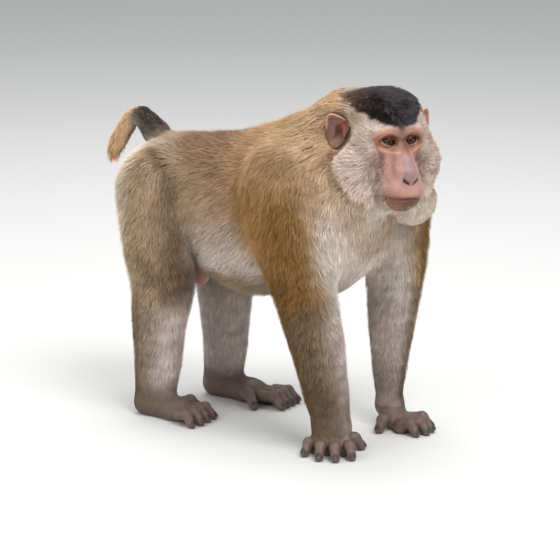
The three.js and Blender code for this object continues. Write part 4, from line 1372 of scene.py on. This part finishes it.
class CoatSettings(bpy.types.PropertyGroup):
    """Measures and colours of the coat."""

    length_scale: bpy.props.FloatProperty(
        name="Length", description="Length of every tuft against its own", default=1.0, min=0.3, max=2,
        subtype="FACTOR",
    )
    tuft_width: bpy.props.FloatProperty(
        name="Tuft width", description="Width of a long tuft at its root", default=0.00165, min=0.0005,
        unit="LENGTH",
    )
    seed: bpy.props.IntProperty(name="Seed", description="Start of the random draws", default=11, min=0)
    back: tint("Back", "Hair of the back", 144, 114, 90)
    loin: tint("Loin", "Hair between the withers and the back", 168, 134, 102)
    saddle: tint("Saddle", "Brown hair over the loin", 134, 103, 78)
    spine: tint("Spine", "Dark line along the back", 104, 80, 66)
    flank: tint("Flank", "Hair of the sides", 182, 150, 120)
    limb: tint("Hip", "Hair over the hips", 186, 157, 130)
    rump: tint("Rump", "Whitish hair behind the hips", 226, 206, 182)
    belly: tint("Lower flank", "Whitish hair low on the flanks", 204, 190, 178)
    # tan hair under the belly, made a little darker as painted shade on the underside
    under: tint("Belly", "Tan hair under the belly", 166, 145, 121)
    # painted shade: dark colour in the creases where the flanks meet the thighs
    groin: tint("Groin", "Dark hair where the flank meets the thigh", 98, 71, 58)
    chest: tint("Chest", "Hair of the chest and throat", 216, 190, 166)
    breast: tint("Breast", "Whitish hair before and inside the upper arms", 236, 222, 208)
    shoulder: tint("Shoulder", "Golden hair of the withers and shoulders", 180, 144, 104)
    gold: tint("Behind the shoulder", "Golden hair behind the shoulder", 172, 129, 78)
    neck: tint("Neck", "Hair of the sides of the neck", 192, 158, 124)
    nape: tint("Nape", "Hair of the nape", 168, 136, 104)
    arm: tint("Outer arm", "Dark golden hair outside the upper arm", 137, 99, 52)
    upper_arm: tint("Upper arm", "Tan hair of the upper arm", 154, 119, 78)
    arm_front: tint("Front of the arm", "Pale tan hair before the upper arm", 192, 162, 126)
    forearm: tint("Forearm", "Speckled hair of the forearm", 125, 102, 78)
    wrist: tint("Front of the forearm", "Hair before the forearm", 146, 125, 104)
    arm_side: tint("Forearm's edge", "Hair where the forearm turns pale", 168, 150, 134)
    inside: tint("Inside", "Pale hair inside the forearm", 218, 200, 190)
    hand: tint("Hand hair", "Hair on the backs of the hands and feet", 104, 86, 70)
    thigh: tint("Thigh", "Hair outside the thigh", 180, 152, 120)
    knee: tint("Knee", "Hair before and over the knee", 138, 113, 88)
    shank: tint("Shank", "Hair behind the shank", 172, 152, 134)
    shin: tint("Shin", "Thin pale hair before the shank", 232, 213, 203)
    tail: tint("Tail", "Hair at the sides of the tail", 148, 138, 128)
    tail_top: tint("Tail top", "Dark hair on the top of the tail", 66, 56, 52)
    brush: tint("Tail brush", "Golden tip of the tail", 236, 192, 148)
    ruff: tint("Ruff", "Whitish hair of the cheeks", 226, 202, 188)
    # painted shade: darker colour along the crease where the ruff ends
    crease: tint("Edge of the ruff", "Brown hair where the ruff ends", 146, 117, 95)
    down: tint("Down", "Short sparse hair of the muzzle", 196, 156, 140)
    throat: tint("Throat", "Hair under the chin", 214, 200, 184)
    brow: tint("Brow", "White hair over the brows and by the mouth", 210, 190, 180)
    temple: tint("Temple", "Brown hair before the ears", 134, 102, 74)
    shadow: tint("Cheek hollow", "Brown hair beside the muzzle", 130, 100, 80)
    cap: tint("Cap", "Dark hair of the crown", 24, 18, 15)
    # painted sheen: blue-grey reflection on the cap's dark hair
    sheen: tint("Cap's left", "Blue-grey hair to the left of the parting", 66, 60, 65)
    crown: tint("Crown", "Grizzled hair behind the cap", 82, 62, 52)
    parting: tint("Parting", "Paler parting of the crown", 92, 84, 88)


class SkinSettings(bpy.types.PropertyGroup):
    """Colours of the bare skin."""

    face: tint("Face", "Skin of the muzzle and cheeks", 188, 144, 134)
    nose: tint("Nose", "Lilac skin of the nose", 146, 117, 120)
    socket: tint("Eye surround", "Skin round the eyes", 150, 104, 80)
    # skin of the brow ridges, darkened as painted shade under their crest
    brow: tint("Brow", "Pale skin of the brow ridges", 156, 112, 88)
    socket_edge: tint("Outer eye surround", "Brown skin at the outer edges of the eyes", 132, 82, 56)
    brow_edge: tint("Brow edge", "Pale skin between the brows and the white hair", 190, 150, 132)
    lower_lid: tint("Lower lid", "Pale crescent below the eyes", 194, 152, 128)
    # brown skin beside the muzzle, also used as painted shade under the brows
    cheek: tint("Bare cheek", "Brown skin beside the muzzle", 120, 87, 70)
    muzzle_side: tint("Side of the muzzle", "Greyer skin by the corners of the mouth", 188, 162, 148)
    lip: tint("Lip", "Orange-pink upper lip", 194, 142, 120)
    lip_line: tint("Lip line", "Grey-brown line of the mouth", 116, 86, 78)
    chin: tint("Chin", "Brown skin of the lower lip and chin", 122, 77, 54)
    lid_rim: tint("Lid rim", "Dark margins of the lids", 34, 20, 14)
    upper_lid: tint("Upper lid", "Skin of the upper lids", 176, 128, 98)
    ear: tint("Ear", "Skin inside the ears", 122, 90, 78)
    ear_root: tint("Ear root", "Orange-brown skin before and over the opening of the ears", 158, 98, 70)
    ear_rim: tint("Ear rim", "Pink skin of the upper rims of the ears", 204, 150, 134)
    paw: tint("Hand and foot", "Grey-lilac skin of the hands and feet", 104, 88, 80)
    sac: tint("Underparts", "Bare skin under the hips", 184, 138, 120)


class StageSettings(bpy.types.PropertyGroup):
    """Floor, lights and camera."""

    floor_size: bpy.props.FloatProperty(
        name="Floor", description="Width of the floor", default=12.0, min=2, unit="LENGTH",
    )
    camera_distance: bpy.props.FloatProperty(
        name="Camera distance", description="Distance from the camera to the middle", default=4.0,
        unit="LENGTH",
    )
    camera_turn: bpy.props.FloatProperty(
        name="Camera turn", description="Turn of the camera from straight ahead of the body",
        default=math.radians(-54), subtype="ANGLE",
    )
    camera_rise: bpy.props.FloatProperty(
        name="Camera rise", description="Angle of the camera over level", default=math.radians(13),
        subtype="ANGLE",
    )
    light: bpy.props.FloatProperty(name="Light", description="Strength of the lights", default=1.0, min=0)


def named_colours(settings):
    """The colour properties of a group as arrays by name."""
    return {
        key: np.array(getattr(settings, key))
        for key in settings.__annotations__ if len(np.shape(getattr(settings, key))) == 1
    }


# ---------------------------------------------------------------- skin colours
def paw_share(p):
    """1 on the bare skin of the digits, palms and soles, 0 on the hairy backs of the hands and feet."""
    share = smooth(p[:, 2], 9, 5)
    low = p[:, 2] < 40
    for plan in HANDS.values():
        near = digits(p[low], plan) - palm(p[low], plan) - 2.0
        share[low] = np.maximum(share[low], smooth(near, -3.0, -8.0) * smooth(p[low, 2], 36, 30))
    return share


def seat_pads(p):
    """Below 0 on the two bare pads under the root of the tail."""
    return np.minimum(ball(p, (-22, 236, 296), (14, 16, 21)), ball(p, (22, 236, 296), (14, 16, 21)))


def skin_markings(p, q, w, under, c):
    """Colour, bareness and fold shade of the skin: how much painted shade darkens its folds, from the coat's
    colour there and the skin's colours.
    """
    side, f, u = np.abs(q[:, 0]), q[:, 1], q[:, 2]
    t = np.tile(c["face"], (len(p), 1))
    eyes = np.hypot((side - EYE_SPREAD) / 17, (u + 1) / 13)
    t = over(t, smooth(u, -24, -10), c["socket"])
    t = over(t, smooth(side, 21, 30) * smooth(u, -26, -14) * smooth(u, 14, 6) * 0.9, c["socket_edge"])
    brow = brow_line(side)
    t = painted(
        t,
        # skin of the brow ridges, darkened as painted shade just under their crest
        (bump(u - brow + 1.0, 3.6) * smooth(side, 3, 8) * 0.85, c["brow"]),
        (smooth(u - brow, 2.5, 6.5) * 0.85, c["brow_edge"]),
        # painted shadow of the brow ridge over the upper lids
        (bump(u - brow + 5.6, 2.6) * smooth(side, 34, 28) * 0.7, c["cheek"] * 0.85),
        # darker strip between the eyes
        (bump(q[:, 0] - 1.5, 6.5) * smooth(u, -18, -2) * 0.95, c["cheek"] * 0.55),
        # brown skin of the hollow beside the muzzle, partly painted shade
        (smooth(side, 19, 24) * smooth(u, -58, -44) * smooth(u, -8, -20) * 0.85, c["cheek"]),
    )
    plate = 6.0 + 0.16 * np.clip(-16 - u, 0, 40)
    nose = smooth(side, plate + 3, plate - 1) * smooth(u, -55, -46) * smooth(u, -8, -24)
    t = over(t, bump(side - plate - 4, 2.6) * smooth(u, -48, -40) * smooth(u, -8, -24) * 0.55,
        c["lip"] * 0.72)
    t = over(t, nose * 0.95, c["nose"])
    crescent = bump(eyes - 0.92, 0.18) * smooth(u, -4, -8) * smooth(side, 4, 10)
    t = over(t, crescent * 0.9, c["lower_lid"])
    line = mouth_line(q[:, 0])
    t = painted(
        t,
        (smooth(u, -40, -52) * smooth(side, 21, 26), c["muzzle_side"]),
        (smooth(u, line + 16, line + 9) * smooth(side, 9, 16) * 0.8, c["lip"] * 0.75),
        (bump(u - line - 7, 4.5) * smooth(side, 20, 8) * smooth(f, -4, 6) * 0.7, c["lip"]),
        (smooth(u, line + 1, line - 2) * 0.95, c["chin"]),
        (smooth(u, line - 1, line - 6) * smooth(np.abs(q[:, 0] - 4), 16, 5) * 0.85, c["chin"] * 0.45),
    )
    # painted shade in the mouth's line
    fold = bump(u - line, 1.5) * smooth(side, 30, 25) * smooth(f, -6, 6)
    lips = bump(u - line - 1.4, 2.6 + 0.08 * side) * smooth(side, 32, 27) * smooth(f, -6, 6)
    t = over(t, lips * 0.85, c["lip_line"])
    v, slit = nostril(side)
    opening = (
        bump(u - slit, 1.9 + 1.0 * v) * smooth(side, 0.8, 2.4) * smooth(side, 11.6, 9) * smooth(f, 22, 30)
    )
    # painted shade in the nostrils
    fold = np.maximum(fold, opening * 1.5)
    t = over(t, smooth(p[:, 2], 330, 300), c["paw"])
    bare = bare_face(q) * w[:, HEAD]
    paws = paw_share(p)
    t = over(t, paws, c["paw"])
    bare = np.maximum(bare, paws)
    loose = smooth(limb(p, SAC), 3.0, 1.0)
    flare = bump(np.linalg.norm((p - np.array([0, 222, 372])) / np.array([14, 16, 13]), axis=1), 0.9)
    under_tail = flare * smooth(p[:, 1], 216, 226) * smooth(p[:, 2], 396, 384)
    t = over(t, under_tail, c["sac"] * 1.15)
    bare = np.maximum(bare, under_tail)
    t = over(t, loose, c["sac"])
    pads = smooth(seat_pads(p), 1.5, -1.5)
    t = over(t, pads, c["sac"] * 0.8)
    bare = np.maximum(bare, np.maximum(loose, pads))
    return over(under, smooth(bare, 0.2, 0.7), t), bare, fold


# ---------------------------------------------------------------- eyeballs and nails
EYE_COLUMNS = 96


def eyeball(side):
    """One eyeball: a sphere of 10 with a 0.6 cornea on its front.

    Rows go by angle from the axis, close together over the iris; columns go round the axis.
    """
    angles = np.concatenate([np.linspace(1.5, 42, 28), np.linspace(48, 178, 20)]) * math.pi / 180
    a = np.arange(EYE_COLUMNS) * 2 * math.pi / EYE_COLUMNS
    cornea = 0.6 * smooth(angles, math.radians(36), math.radians(18))
    radius = (EYE_RADIUS + cornea)[:, None]
    ring = radius * np.sin(angles)[:, None]
    axis = unit(np.array([-0.10, 1.0, 0.0]))
    across = unit(np.cross(axis, UP))
    upward = np.cross(across, axis)
    points = ring[..., None] * (np.cos(a)[None, :, None] * across + np.sin(a)[None, :, None] * upward)
    points = points + (radius * np.cos(angles)[:, None])[..., None] * axis
    points = points.reshape(-1, 3)
    poles = np.stack([axis * (EYE_RADIUS + 0.6), -axis * EYE_RADIUS])
    centre = np.array([side * EYE_SPREAD, -EYE_DEPTH, 0])
    q = np.concatenate([points, poles]) + centre
    quads, fans = shell(len(angles), EYE_COLUMNS, True)
    from_axis = np.where(angles[:, None] < 1.6, ring, 20.0) * np.ones(EYE_COLUMNS)
    spokes = 0.5 + 0.22 * np.sin(23 * a + 1) + 0.18 * np.sin(41 * a + 2) + 0.14 * np.sin(67 * a)
    fibre = np.broadcast_to(spokes, (len(angles), EYE_COLUMNS))
    return (
        from_head(q), quads, fans,
        np.concatenate([from_axis.ravel(), [0, 20]]), np.concatenate([fibre.ravel(), [0.5, 0.5]]),
    )


NAIL_COLUMNS = 28


def nail(plan, thick):
    """One nail: a closed plate bent over the end of a digit.

    Its outline is a rounded oblong x = L cos^0.7, y = W sin^0.7; the plate drops by y^2 / (1.7 r) to each
    side and bends down towards its tip, and its thickness goes as the square root of 1 - t^4.
    """
    b, c = (np.array(point) for point in digit_path(plan, thick)[1:])
    radius = (THUMB_RADII if thick else DIGIT_RADII)[2]
    along = unit(c - b)
    across = unit(np.cross(along, UP))
    above = np.cross(across, along)
    angle = np.arange(NAIL_COLUMNS) * 2 * math.pi / NAIL_COLUMNS
    front = np.array([0.12, 0.3, 0.5, 0.68, 0.82, 0.92, 0.98, 1.0])
    t = np.concatenate([front, front[::-1]])[:, None]
    top = (np.arange(len(t)) < len(front))[:, None]
    length, width = (5.6, 5.2) if thick else (5.0, 4.4)
    cos, sin = np.cos(angle), np.sin(angle)
    x = np.sign(cos) * np.abs(cos) ** 0.7 * t * length
    y = np.sign(sin) * np.abs(sin) ** 0.7 * t * width
    edge = np.sqrt(1 - np.clip(t, 0, 1) ** 4) * 0.5 + 0.08
    z = -(y**2) / (1.7 * radius) - 0.035 * np.clip(x + 1, 0, 9) ** 2 + np.where(top, edge, -edge)
    centre = c + above * radius * 0.90 + along * 0.6
    points = centre + x[..., None] * along + y[..., None] * across + z[..., None] * above
    poles = np.stack([points[0].mean(0), points[-1].mean(0)])
    quads, fans = shell(len(t), NAIL_COLUMNS)
    share = ((x / length + 1) / 2 * np.ones(NAIL_COLUMNS)).ravel()
    points = np.concatenate([points.reshape(-1, 3), poles])
    return points, quads, fans, np.concatenate([share, [0.5, 0.5]])


# ---------------------------------------------------------------- operators
WORK = {}
FLESH = [
    "head", "neck", "chest", "belly", "rump", "scrotum", "tail", "ear_r", "ear_l",
    "upper_arm_r", "upper_arm_l", "forearm_r", "forearm_l", "thigh_r", "thigh_l", "shin_r", "shin_l",
    "hand_r", "hand_l", "foot_r", "foot_l",
]
FINGER_NAMES = ["finger_5", "finger_4", "finger_3", "finger_2", "thumb"]
TOE_NAMES = ["toe_5", "toe_4", "toe_3", "toe_2", "big_toe"]


def joined(parts):
    """Several (vertices, face arrays...) as one: vertices stacked and the faces' numbers moved along."""
    vertices, faces, start = [], [], 0
    for points, *sets in parts:
        vertices.append(points)
        faces += [one + start for one in sets]
        start += len(points)
    return np.concatenate(vertices), faces


class MACAQUE_OT_skin(bpy.types.Operator):
    """Build the skin with its face, lids and ears"""

    bl_idname = "macaque.skin"
    bl_label = "Build skin"

    def execute(self, context):
        vertices, triangles, normals = skin_surface()
        WORK["skin"] = Skin(vertices, triangles, normals)
        lid_parts = [lids(side) for side in (-1, 1)]
        ear_parts = [ear(side) for side in (-1, 1)]
        points, faces = joined([(vertices, triangles), *lid_parts, *(part[:3] for part in ear_parts)])
        piece = make_piece("skin", points, faces, skin_finish(), FLESH)
        p = points
        w, q = shares(p), to_head(p)
        full_normals = np.concatenate([normals, np.tile(UP, (len(points) - len(normals), 1))])
        under = coat_markings(p, full_normals, w, q, named_colours(context.scene.macaque_coat))
        c = named_colours(context.scene.macaque_skin)
        tone, bare, fold = skin_markings(p, q, w, under, c)
        start = len(vertices)
        for points_of_lid, _ in lid_parts:
            part = slice(start, start + len(points_of_lid))
            row = np.arange(len(points_of_lid)) // LID_COLUMNS
            above = smooth(q[part, 2] - 0.15 * np.abs(q[part, 0]), -2.5, 2)
            tone[part] = over(tone[part], bump(row - 7, 3) * above * 0.8, c["upper_lid"])
            tone[part] = over(tone[part], bump(row - 7, 3) * (1 - above) * 0.7, c["lower_lid"])
            tone[part] = over(tone[part], smooth(row, 5.4, 3.0), c["lid_rim"])
            bare[part] = 1
            start = part.stop
        for points_of_ear, *_, (shade, glow, warm) in ear_parts:
            part = slice(start, start + len(points_of_ear))
            inside = over(np.tile(c["ear"], (len(shade), 1)), warm, c["ear_root"])
            tone[part] = over(inside, glow, c["ear_rim"])
            bare[part] = 1
            # painted shade in each ear's hollow and groove
            fold[part] = shade
            start = part.stop
        set_values(piece, "tone", tone)
        set_values(piece, "bare", bare)
        set_values(piece, "fold", fold)
        return {"FINISHED"}


# Where one coat piece ends and the next begins, in the animal's measures and, for the cap, the head's.
NECK_END = -92
SHOULDERS_END = -20
LOIN_END = 70
MID_LIMB = 190
CAP_FOOT = -6


def coat_groups(p, q, region):
    """Name of each coat piece and the mask of the tufts that are in it."""
    y, z = p[:, 1], p[:, 2]
    on_trunk, on_head = region == "trunk", region == "head"
    groups = {
        "coat_cap": on_head & (q[:, 2] > CAP_FOOT),
        "coat_cheeks": on_head & (q[:, 2] <= CAP_FOOT),
        "coat_neck": on_trunk & (y < NECK_END),
        "coat_shoulders": on_trunk & (y >= NECK_END) & (y < SHOULDERS_END),
        "coat_loin": on_trunk & (y >= SHOULDERS_END) & (y < LOIN_END),
        "coat_rump": on_trunk & (y >= LOIN_END),
        "coat_tail": region == "tail",
    }
    for name, upper, lower in (("arm", "upper_arm", "forearm"), ("leg", "thigh", "shin")):
        for letter in ("r", "l"):
            mine = region == f"{name}_{letter}"
            groups[f"coat_{upper}_{letter}"] = mine & (z >= MID_LIMB)
            groups[f"coat_{lower}_{letter}"] = mine & (z < MID_LIMB)
    return groups


def coat_height(p):
    """Height of points over the skin that bears the coat."""
    return envelope(p) + coat_depth(p, shares(p), to_head(p))


def corner_normals(n, normals, vertices, quads, triangles, per):
    """Shading normals of every corner of the tufts: mostly the skin's, tilted back along a steep tuft.

    The inner faces of a tuft that hangs under the body are seen from below, and have their normals reversed.
    """
    tips = unit(vertices[per - 1::per] - vertices[::per])
    steep = tips * np.clip((tips * n).sum(1), 0, 1)[:, None]
    mixed = unit(0.68 * np.repeat(unit(n - steep), per, axis=0) + 0.32 * normals)
    corner = np.concatenate([quads.ravel(), triangles.ravel()]).astype(int)
    owner = corner // per
    # the third quad between two rings and the last triangle at the tip are a tuft's inner faces
    sides = [np.tile([0, 0, 1], len(quads) // 3).repeat(4), np.tile([0, 0, 0, 1], len(n)).repeat(3)]
    inner = (np.concatenate(sides) > 0) & (n[owner, 2] < -0.1)
    return np.where(inner[:, None], -n[owner], mixed[corner])


# Pieces whose tufts have a second ring, to follow the rounder parts of the body.
CURVED = ("coat_cap", "coat_cheeks", "coat_neck", "coat_tail")


class Tufts:
    """Root, direction, size and colour of every tuft of the coat."""

    def __init__(self, skin, settings):
        p, n, rng = skin.scatter(lambda m: spacing_of(m, shares(m), to_head(m)), settings.seed)
        self.p, self.n, self.rng = p, n, rng
        w, q = shares(p), to_head(p)
        self.q = q
        self.region = region_of(w)
        self.comb(skin, w, settings.length_scale)
        self.raise_up(w)
        count = len(p)
        bare = smooth(bare_face(q), 0.15, 0.95) * w[:, HEAD]
        self.length = self.length * (1 - 0.45 * bare)
        self.kept = (rng.uniform(size=count) > 0.8 * bare) & ((n[:, 2] > -0.55) | (p[:, 1] < 278))
        self.trim(w)
        width = (
            settings.tuft_width / MM * np.clip(0.34 + self.length / 40, 0.4, 1.0)
            * rng.uniform(0.75, 1.25, count)
        )
        self.width = width * (1 - 0.55 * bare)
        self.chance = rng.uniform(size=count)
        c = named_colours(settings)
        tone = over(coat_markings(p, n, w, q, c), 0.7 * bare, c["down"])
        streak = 1 + 0.13 * waves(p, 15, 25) + 0.08 * waves(p, 40, 26)
        each = rng.uniform(0.90, 1.10, count) * (0.86 + 0.28 * self.lock_chance)
        self.tone = tone * streak[:, None] * each[:, None]
        capped = w[:, HEAD] * smooth(cap_edge(q), -4, 2)
        self.agouti = np.clip(1 - 0.75 * smooth(self.tone.mean(1), 0.2, 0.5) - 0.8 * capped, 0, 1)

    def comb(self, skin, w, length_scale):
        """Directions and lengths: each tuft leans towards the middle of its lock and a little at random."""
        p, rng = self.p, self.rng
        length = hair_length(p, w, self.q) * length_scale
        way = lie(p, self.n, w, self.q)
        side = np.cross(self.n, way)
        sweep = 0.16 * waves(p, 34, 21) + 0.14 * waves(p, 13, 22) + rng.normal(0, 0.13, len(p))
        middle, self.lock_chance = locks(skin, p, way, rng)
        aside = ((middle - p) * side).sum(1) / np.maximum(length, 4)
        self.way = unit(way + side * (sweep + 0.9 * np.clip(aside, -0.35, 0.35))[:, None])
        self.length = length * (1 + 0.10 * waves(p, 17, 23)) * rng.uniform(0.8, 1.16, len(p))

    def raise_up(self, w):
        """Heights of the tips: higher on the cap, the ruff and before the ears, lower in the furrows."""
        p, q = self.p, self.q
        on_head = w[:, HEAD]
        depth = coat_depth(p, w, q)
        rise = np.maximum(depth * 1.12, 0.05 * self.length + 0.45) * (1 + 0.10 * waves(p, 11, 24))
        edge, off = cap_edge(q), parting(q)
        lobes = 2.2 * smooth(edge, -0.5, 3) * (1 - 0.6 * bump(off, 3)) * smooth(q[:, 1], -86, -50)
        furrow = 1.4 * smooth(edge, -9, -2) * smooth(edge, 0.5, -0.5) * smooth(q[:, 1], -70, -40)
        rise = rise + on_head * (lobes - furrow)
        arc = ruff_edge(q)
        beside = smooth(q[:, 2], 4, -12) * smooth(q[:, 2], -98, -84) * smooth(np.abs(q[:, 0]), 12, 38)
        rise = rise + (2.8 * smooth(arc, 2, 12) - 3.4 * bump(arc, 7)) * beside * (on_head + w[:, NECK])
        self.rise = rise + 9.5 * on_head * spot(mirrored(q), (49, -57, 4), (9, 9, 23))

    def trim(self, w):
        """Lower tufts round the scrotum, a fringe under the belly, and how far tips may be held down."""
        p, n, rng = self.p, self.n, self.rng
        self.hold = 14 - 13 * w[:, TAIL_PART] * smooth(p[:, 1] - 0.5 * (p[:, 2] - 380), 276, 296)
        rise = self.rise * (1 - 0.5 * smooth(limb(p, SAC), 18, 5))
        fringe = smooth(-n[:, 2], 0.45, 0.95) * smooth(p[:, 2], 262, 236) * (w[:, TRUNK] + w[:, NECK])
        rise = rise + 3.5 * fringe
        self.length = self.length * (1 + 0.25 * fringe)
        self.rise = rise * rng.uniform(0.82, 1.08, len(p)) * (0.88 + 0.24 * self.lock_chance)

    def grow(self, name, chosen, material):
        """One coat piece from the chosen tufts."""
        rings = 2 if name in CURVED else 1
        i = np.nonzero(chosen & self.kept)[0]
        n = self.n[i]
        vertices, normals, quads, triangles, per = tuft_mesh(
            self.p[i], n, self.way[i], self.length[i], self.width[i], self.rise[i], self.hold[i], rings,
            self.rng,
            coat_height,
        )
        piece = make_piece(name, vertices, [quads, triangles], material)
        set_values(piece, "tone", np.repeat(self.tone[i], per, axis=0))
        set_values(piece, "along", np.tile([*np.repeat(np.arange(rings) / rings, 3), 1.0], len(i)))
        set_values(piece, "chance", np.repeat(self.chance[i], per))
        set_values(piece, "across", np.tile([*np.tile([-1.0, 0, 1], rings), 0.0], len(i)))
        set_values(piece, "agouti", np.repeat(self.agouti[i], per))
        add_patches(piece, unwrap(self.p[i], self.q[i], self.region[i[0]]), per)
        shading = corner_normals(n, normals, vertices, quads, triangles, per)
        piece.data.normals_split_custom_set(shading.astype(np.float32))


class MACAQUE_OT_coat(bpy.types.Operator):
    """Lay the coat over the skin in tufts"""

    bl_idname = "macaque.coat"
    bl_label = "Build coat"

    def execute(self, context):
        tufts = Tufts(WORK["skin"], context.scene.macaque_coat)
        material = coat_finish()
        for name, chosen in coat_groups(tufts.p, tufts.q, tufts.region).items():
            tufts.grow(name, chosen, material)
        return {"FINISHED"}


class MACAQUE_OT_eyes(bpy.types.Operator):
    """Build both eyeballs"""

    bl_idname = "macaque.eyes"
    bl_label = "Build eyes"

    def execute(self, context):
        material = eye_finish()
        for side, letter in ((-1, "r"), (1, "l")):
            vertices, quads, fans, from_axis, fibre = eyeball(side)
            name, nodes = "eyeball_" + letter, ["eye_" + letter]
            piece = make_piece(name, vertices, [quads, fans], material, nodes)
            set_values(piece, "from_axis", from_axis)
            set_values(piece, "fibre", fibre)
        return {"FINISHED"}


class MACAQUE_OT_nails(bpy.types.Operator):
    """Build the nails of both hands and both feet"""

    bl_idname = "macaque.nails"
    bl_label = "Build nails"

    def execute(self, context):
        material = nail_finish()
        for part, plan in HANDS.items():
            names = FINGER_NAMES if part.startswith("hand") else TOE_NAMES
            letter = part[-1]
            plates = [nail(digit, k == 4) for k, digit in enumerate(plan["digits"])]
            vertices, faces = joined([plate[:3] for plate in plates])
            nodes = [f"nail_{name}_{letter}" for name in names]
            piece = make_piece("nails_" + part, vertices, faces, material, nodes)
            set_values(piece, "along", np.concatenate([plate[3] for plate in plates]))
        return {"FINISHED"}


# Name, turn and rise in degrees, distance and width in metres, and watts of each lamp.
LAMPS = [("key", -22, 56, 2.8, 1.6, 60), ("fill", -110, 34, 3.0, 2.6, 34), ("top", 130, 66, 2.8, 2.0, 46)]
VIEW_MIDDLE = [0.013, -0.0165, 0.2]
VIEW_WIDTH = 0.784
SENSOR_WIDTH = 36
SKY = (0.86, 0.90, 0.94, 1)
SKY_STRENGTH = 0.55


class MACAQUE_OT_stage(bpy.types.Operator):
    """Lay the floor and set the lights and the camera"""

    bl_idname = "macaque.stage"
    bl_label = "Build stage"

    def execute(self, context):
        settings = context.scene.macaque_stage
        half = settings.floor_size / 2
        mesh = bpy.data.meshes.new("floor")
        corners = [(-half, -half, 0), (half, -half, 0), (half, half, 0), (-half, half, 0)]
        mesh.from_pydata(corners, [], [(0, 1, 2, 3)])
        mesh.materials.append(floor_finish())
        floor = bpy.data.objects.new("floor", mesh)
        context.scene.collection.objects.link(floor)
        middle = np.array(VIEW_MIDDLE)
        back = self.direction(settings.camera_turn, settings.camera_rise)
        camera = bpy.data.objects.new("camera", bpy.data.cameras.new("camera"))
        camera.data.sensor_width = SENSOR_WIDTH
        camera.data.lens = settings.camera_distance / VIEW_WIDTH * SENSOR_WIDTH
        self.aim(camera, middle + back * settings.camera_distance, middle)
        context.scene.collection.objects.link(camera)
        context.scene.camera = camera
        aim_at = np.mean(CAD_BOX, axis=0)
        for name, turn, rise, distance, size, watts in LAMPS:
            lamp = bpy.data.objects.new(name, bpy.data.lights.new(name, "AREA"))
            lamp.data.size = size
            lamp.data.energy = watts * settings.light
            towards = self.direction(math.radians(turn), math.radians(rise))
            self.aim(lamp, aim_at + towards * distance, aim_at)
            context.scene.collection.objects.link(lamp)
        world = bpy.data.worlds.new("studio")
        world.use_nodes = True
        background = world.node_tree.nodes["Background"]
        background.inputs["Color"].default_value = SKY
        background.inputs["Strength"].default_value = SKY_STRENGTH * settings.light
        context.scene.world = world
        context.scene.view_settings.view_transform = "Standard"
        return {"FINISHED"}

    @staticmethod
    def direction(turn, rise):
        """Unit vector at a turn from straight ahead of the body and a rise over level."""
        return np.array([
            math.sin(turn) * math.cos(rise), -math.cos(turn) * math.cos(rise), math.sin(rise),
        ])

    @staticmethod
    def aim(thing, place, target):
        """Puts a camera or lamp at a place, its own -Z towards the target and its Y upwards."""
        back = Vector(place - target).normalized()
        thing.location = place
        thing.rotation_euler = back.to_track_quat("Z", "Y").to_euler()


class MACAQUE_PT_sidebar(bpy.types.Panel):
    """Lists the parts and their settings"""

    bl_idname = "MACAQUE_PT_sidebar"
    bl_label = "Macaque"
    bl_space_type = "VIEW_3D"
    bl_region_type = "UI"
    bl_category = "Macaque"

    def draw(self, context):
        for title, operator, group in (
            ("Skin", "macaque.skin", "macaque_skin"), ("Coat", "macaque.coat", "macaque_coat"),
            ("Eyes", "macaque.eyes", None), ("Nails", "macaque.nails", None),
            ("Stage", "macaque.stage", "macaque_stage"),
        ):
            box = self.layout.box()
            box.operator(operator, text="Build " + title.lower())
            if group:
                settings = getattr(context.scene, group)
                for key in settings.__annotations__:
                    box.prop(settings, key)


GROUPS = {"macaque_coat": CoatSettings, "macaque_skin": SkinSettings, "macaque_stage": StageSettings}
CLASSES = [
    *GROUPS.values(), MACAQUE_OT_skin, MACAQUE_OT_coat, MACAQUE_OT_eyes, MACAQUE_OT_nails, MACAQUE_OT_stage,
    MACAQUE_PT_sidebar,
]


def register():
    """Registers every class and hangs the settings on the scene."""
    for one in CLASSES:
        bpy.utils.register_class(one)
    for name, group in GROUPS.items():
        setattr(bpy.types.Scene, name, bpy.props.PointerProperty(type=group))


def unregister():
    """Takes the settings and the classes away again."""
    for name in GROUPS:
        delattr(bpy.types.Scene, name)
    for one in reversed(CLASSES):
        bpy.utils.unregister_class(one)


def main():
    """Builds every piece in order."""
    register()
    bpy.ops.macaque.stage()
    bpy.ops.macaque.skin()
    bpy.ops.macaque.eyes()
    bpy.ops.macaque.nails()
    bpy.ops.macaque.coat()


if __name__ == "__main__":
    main()
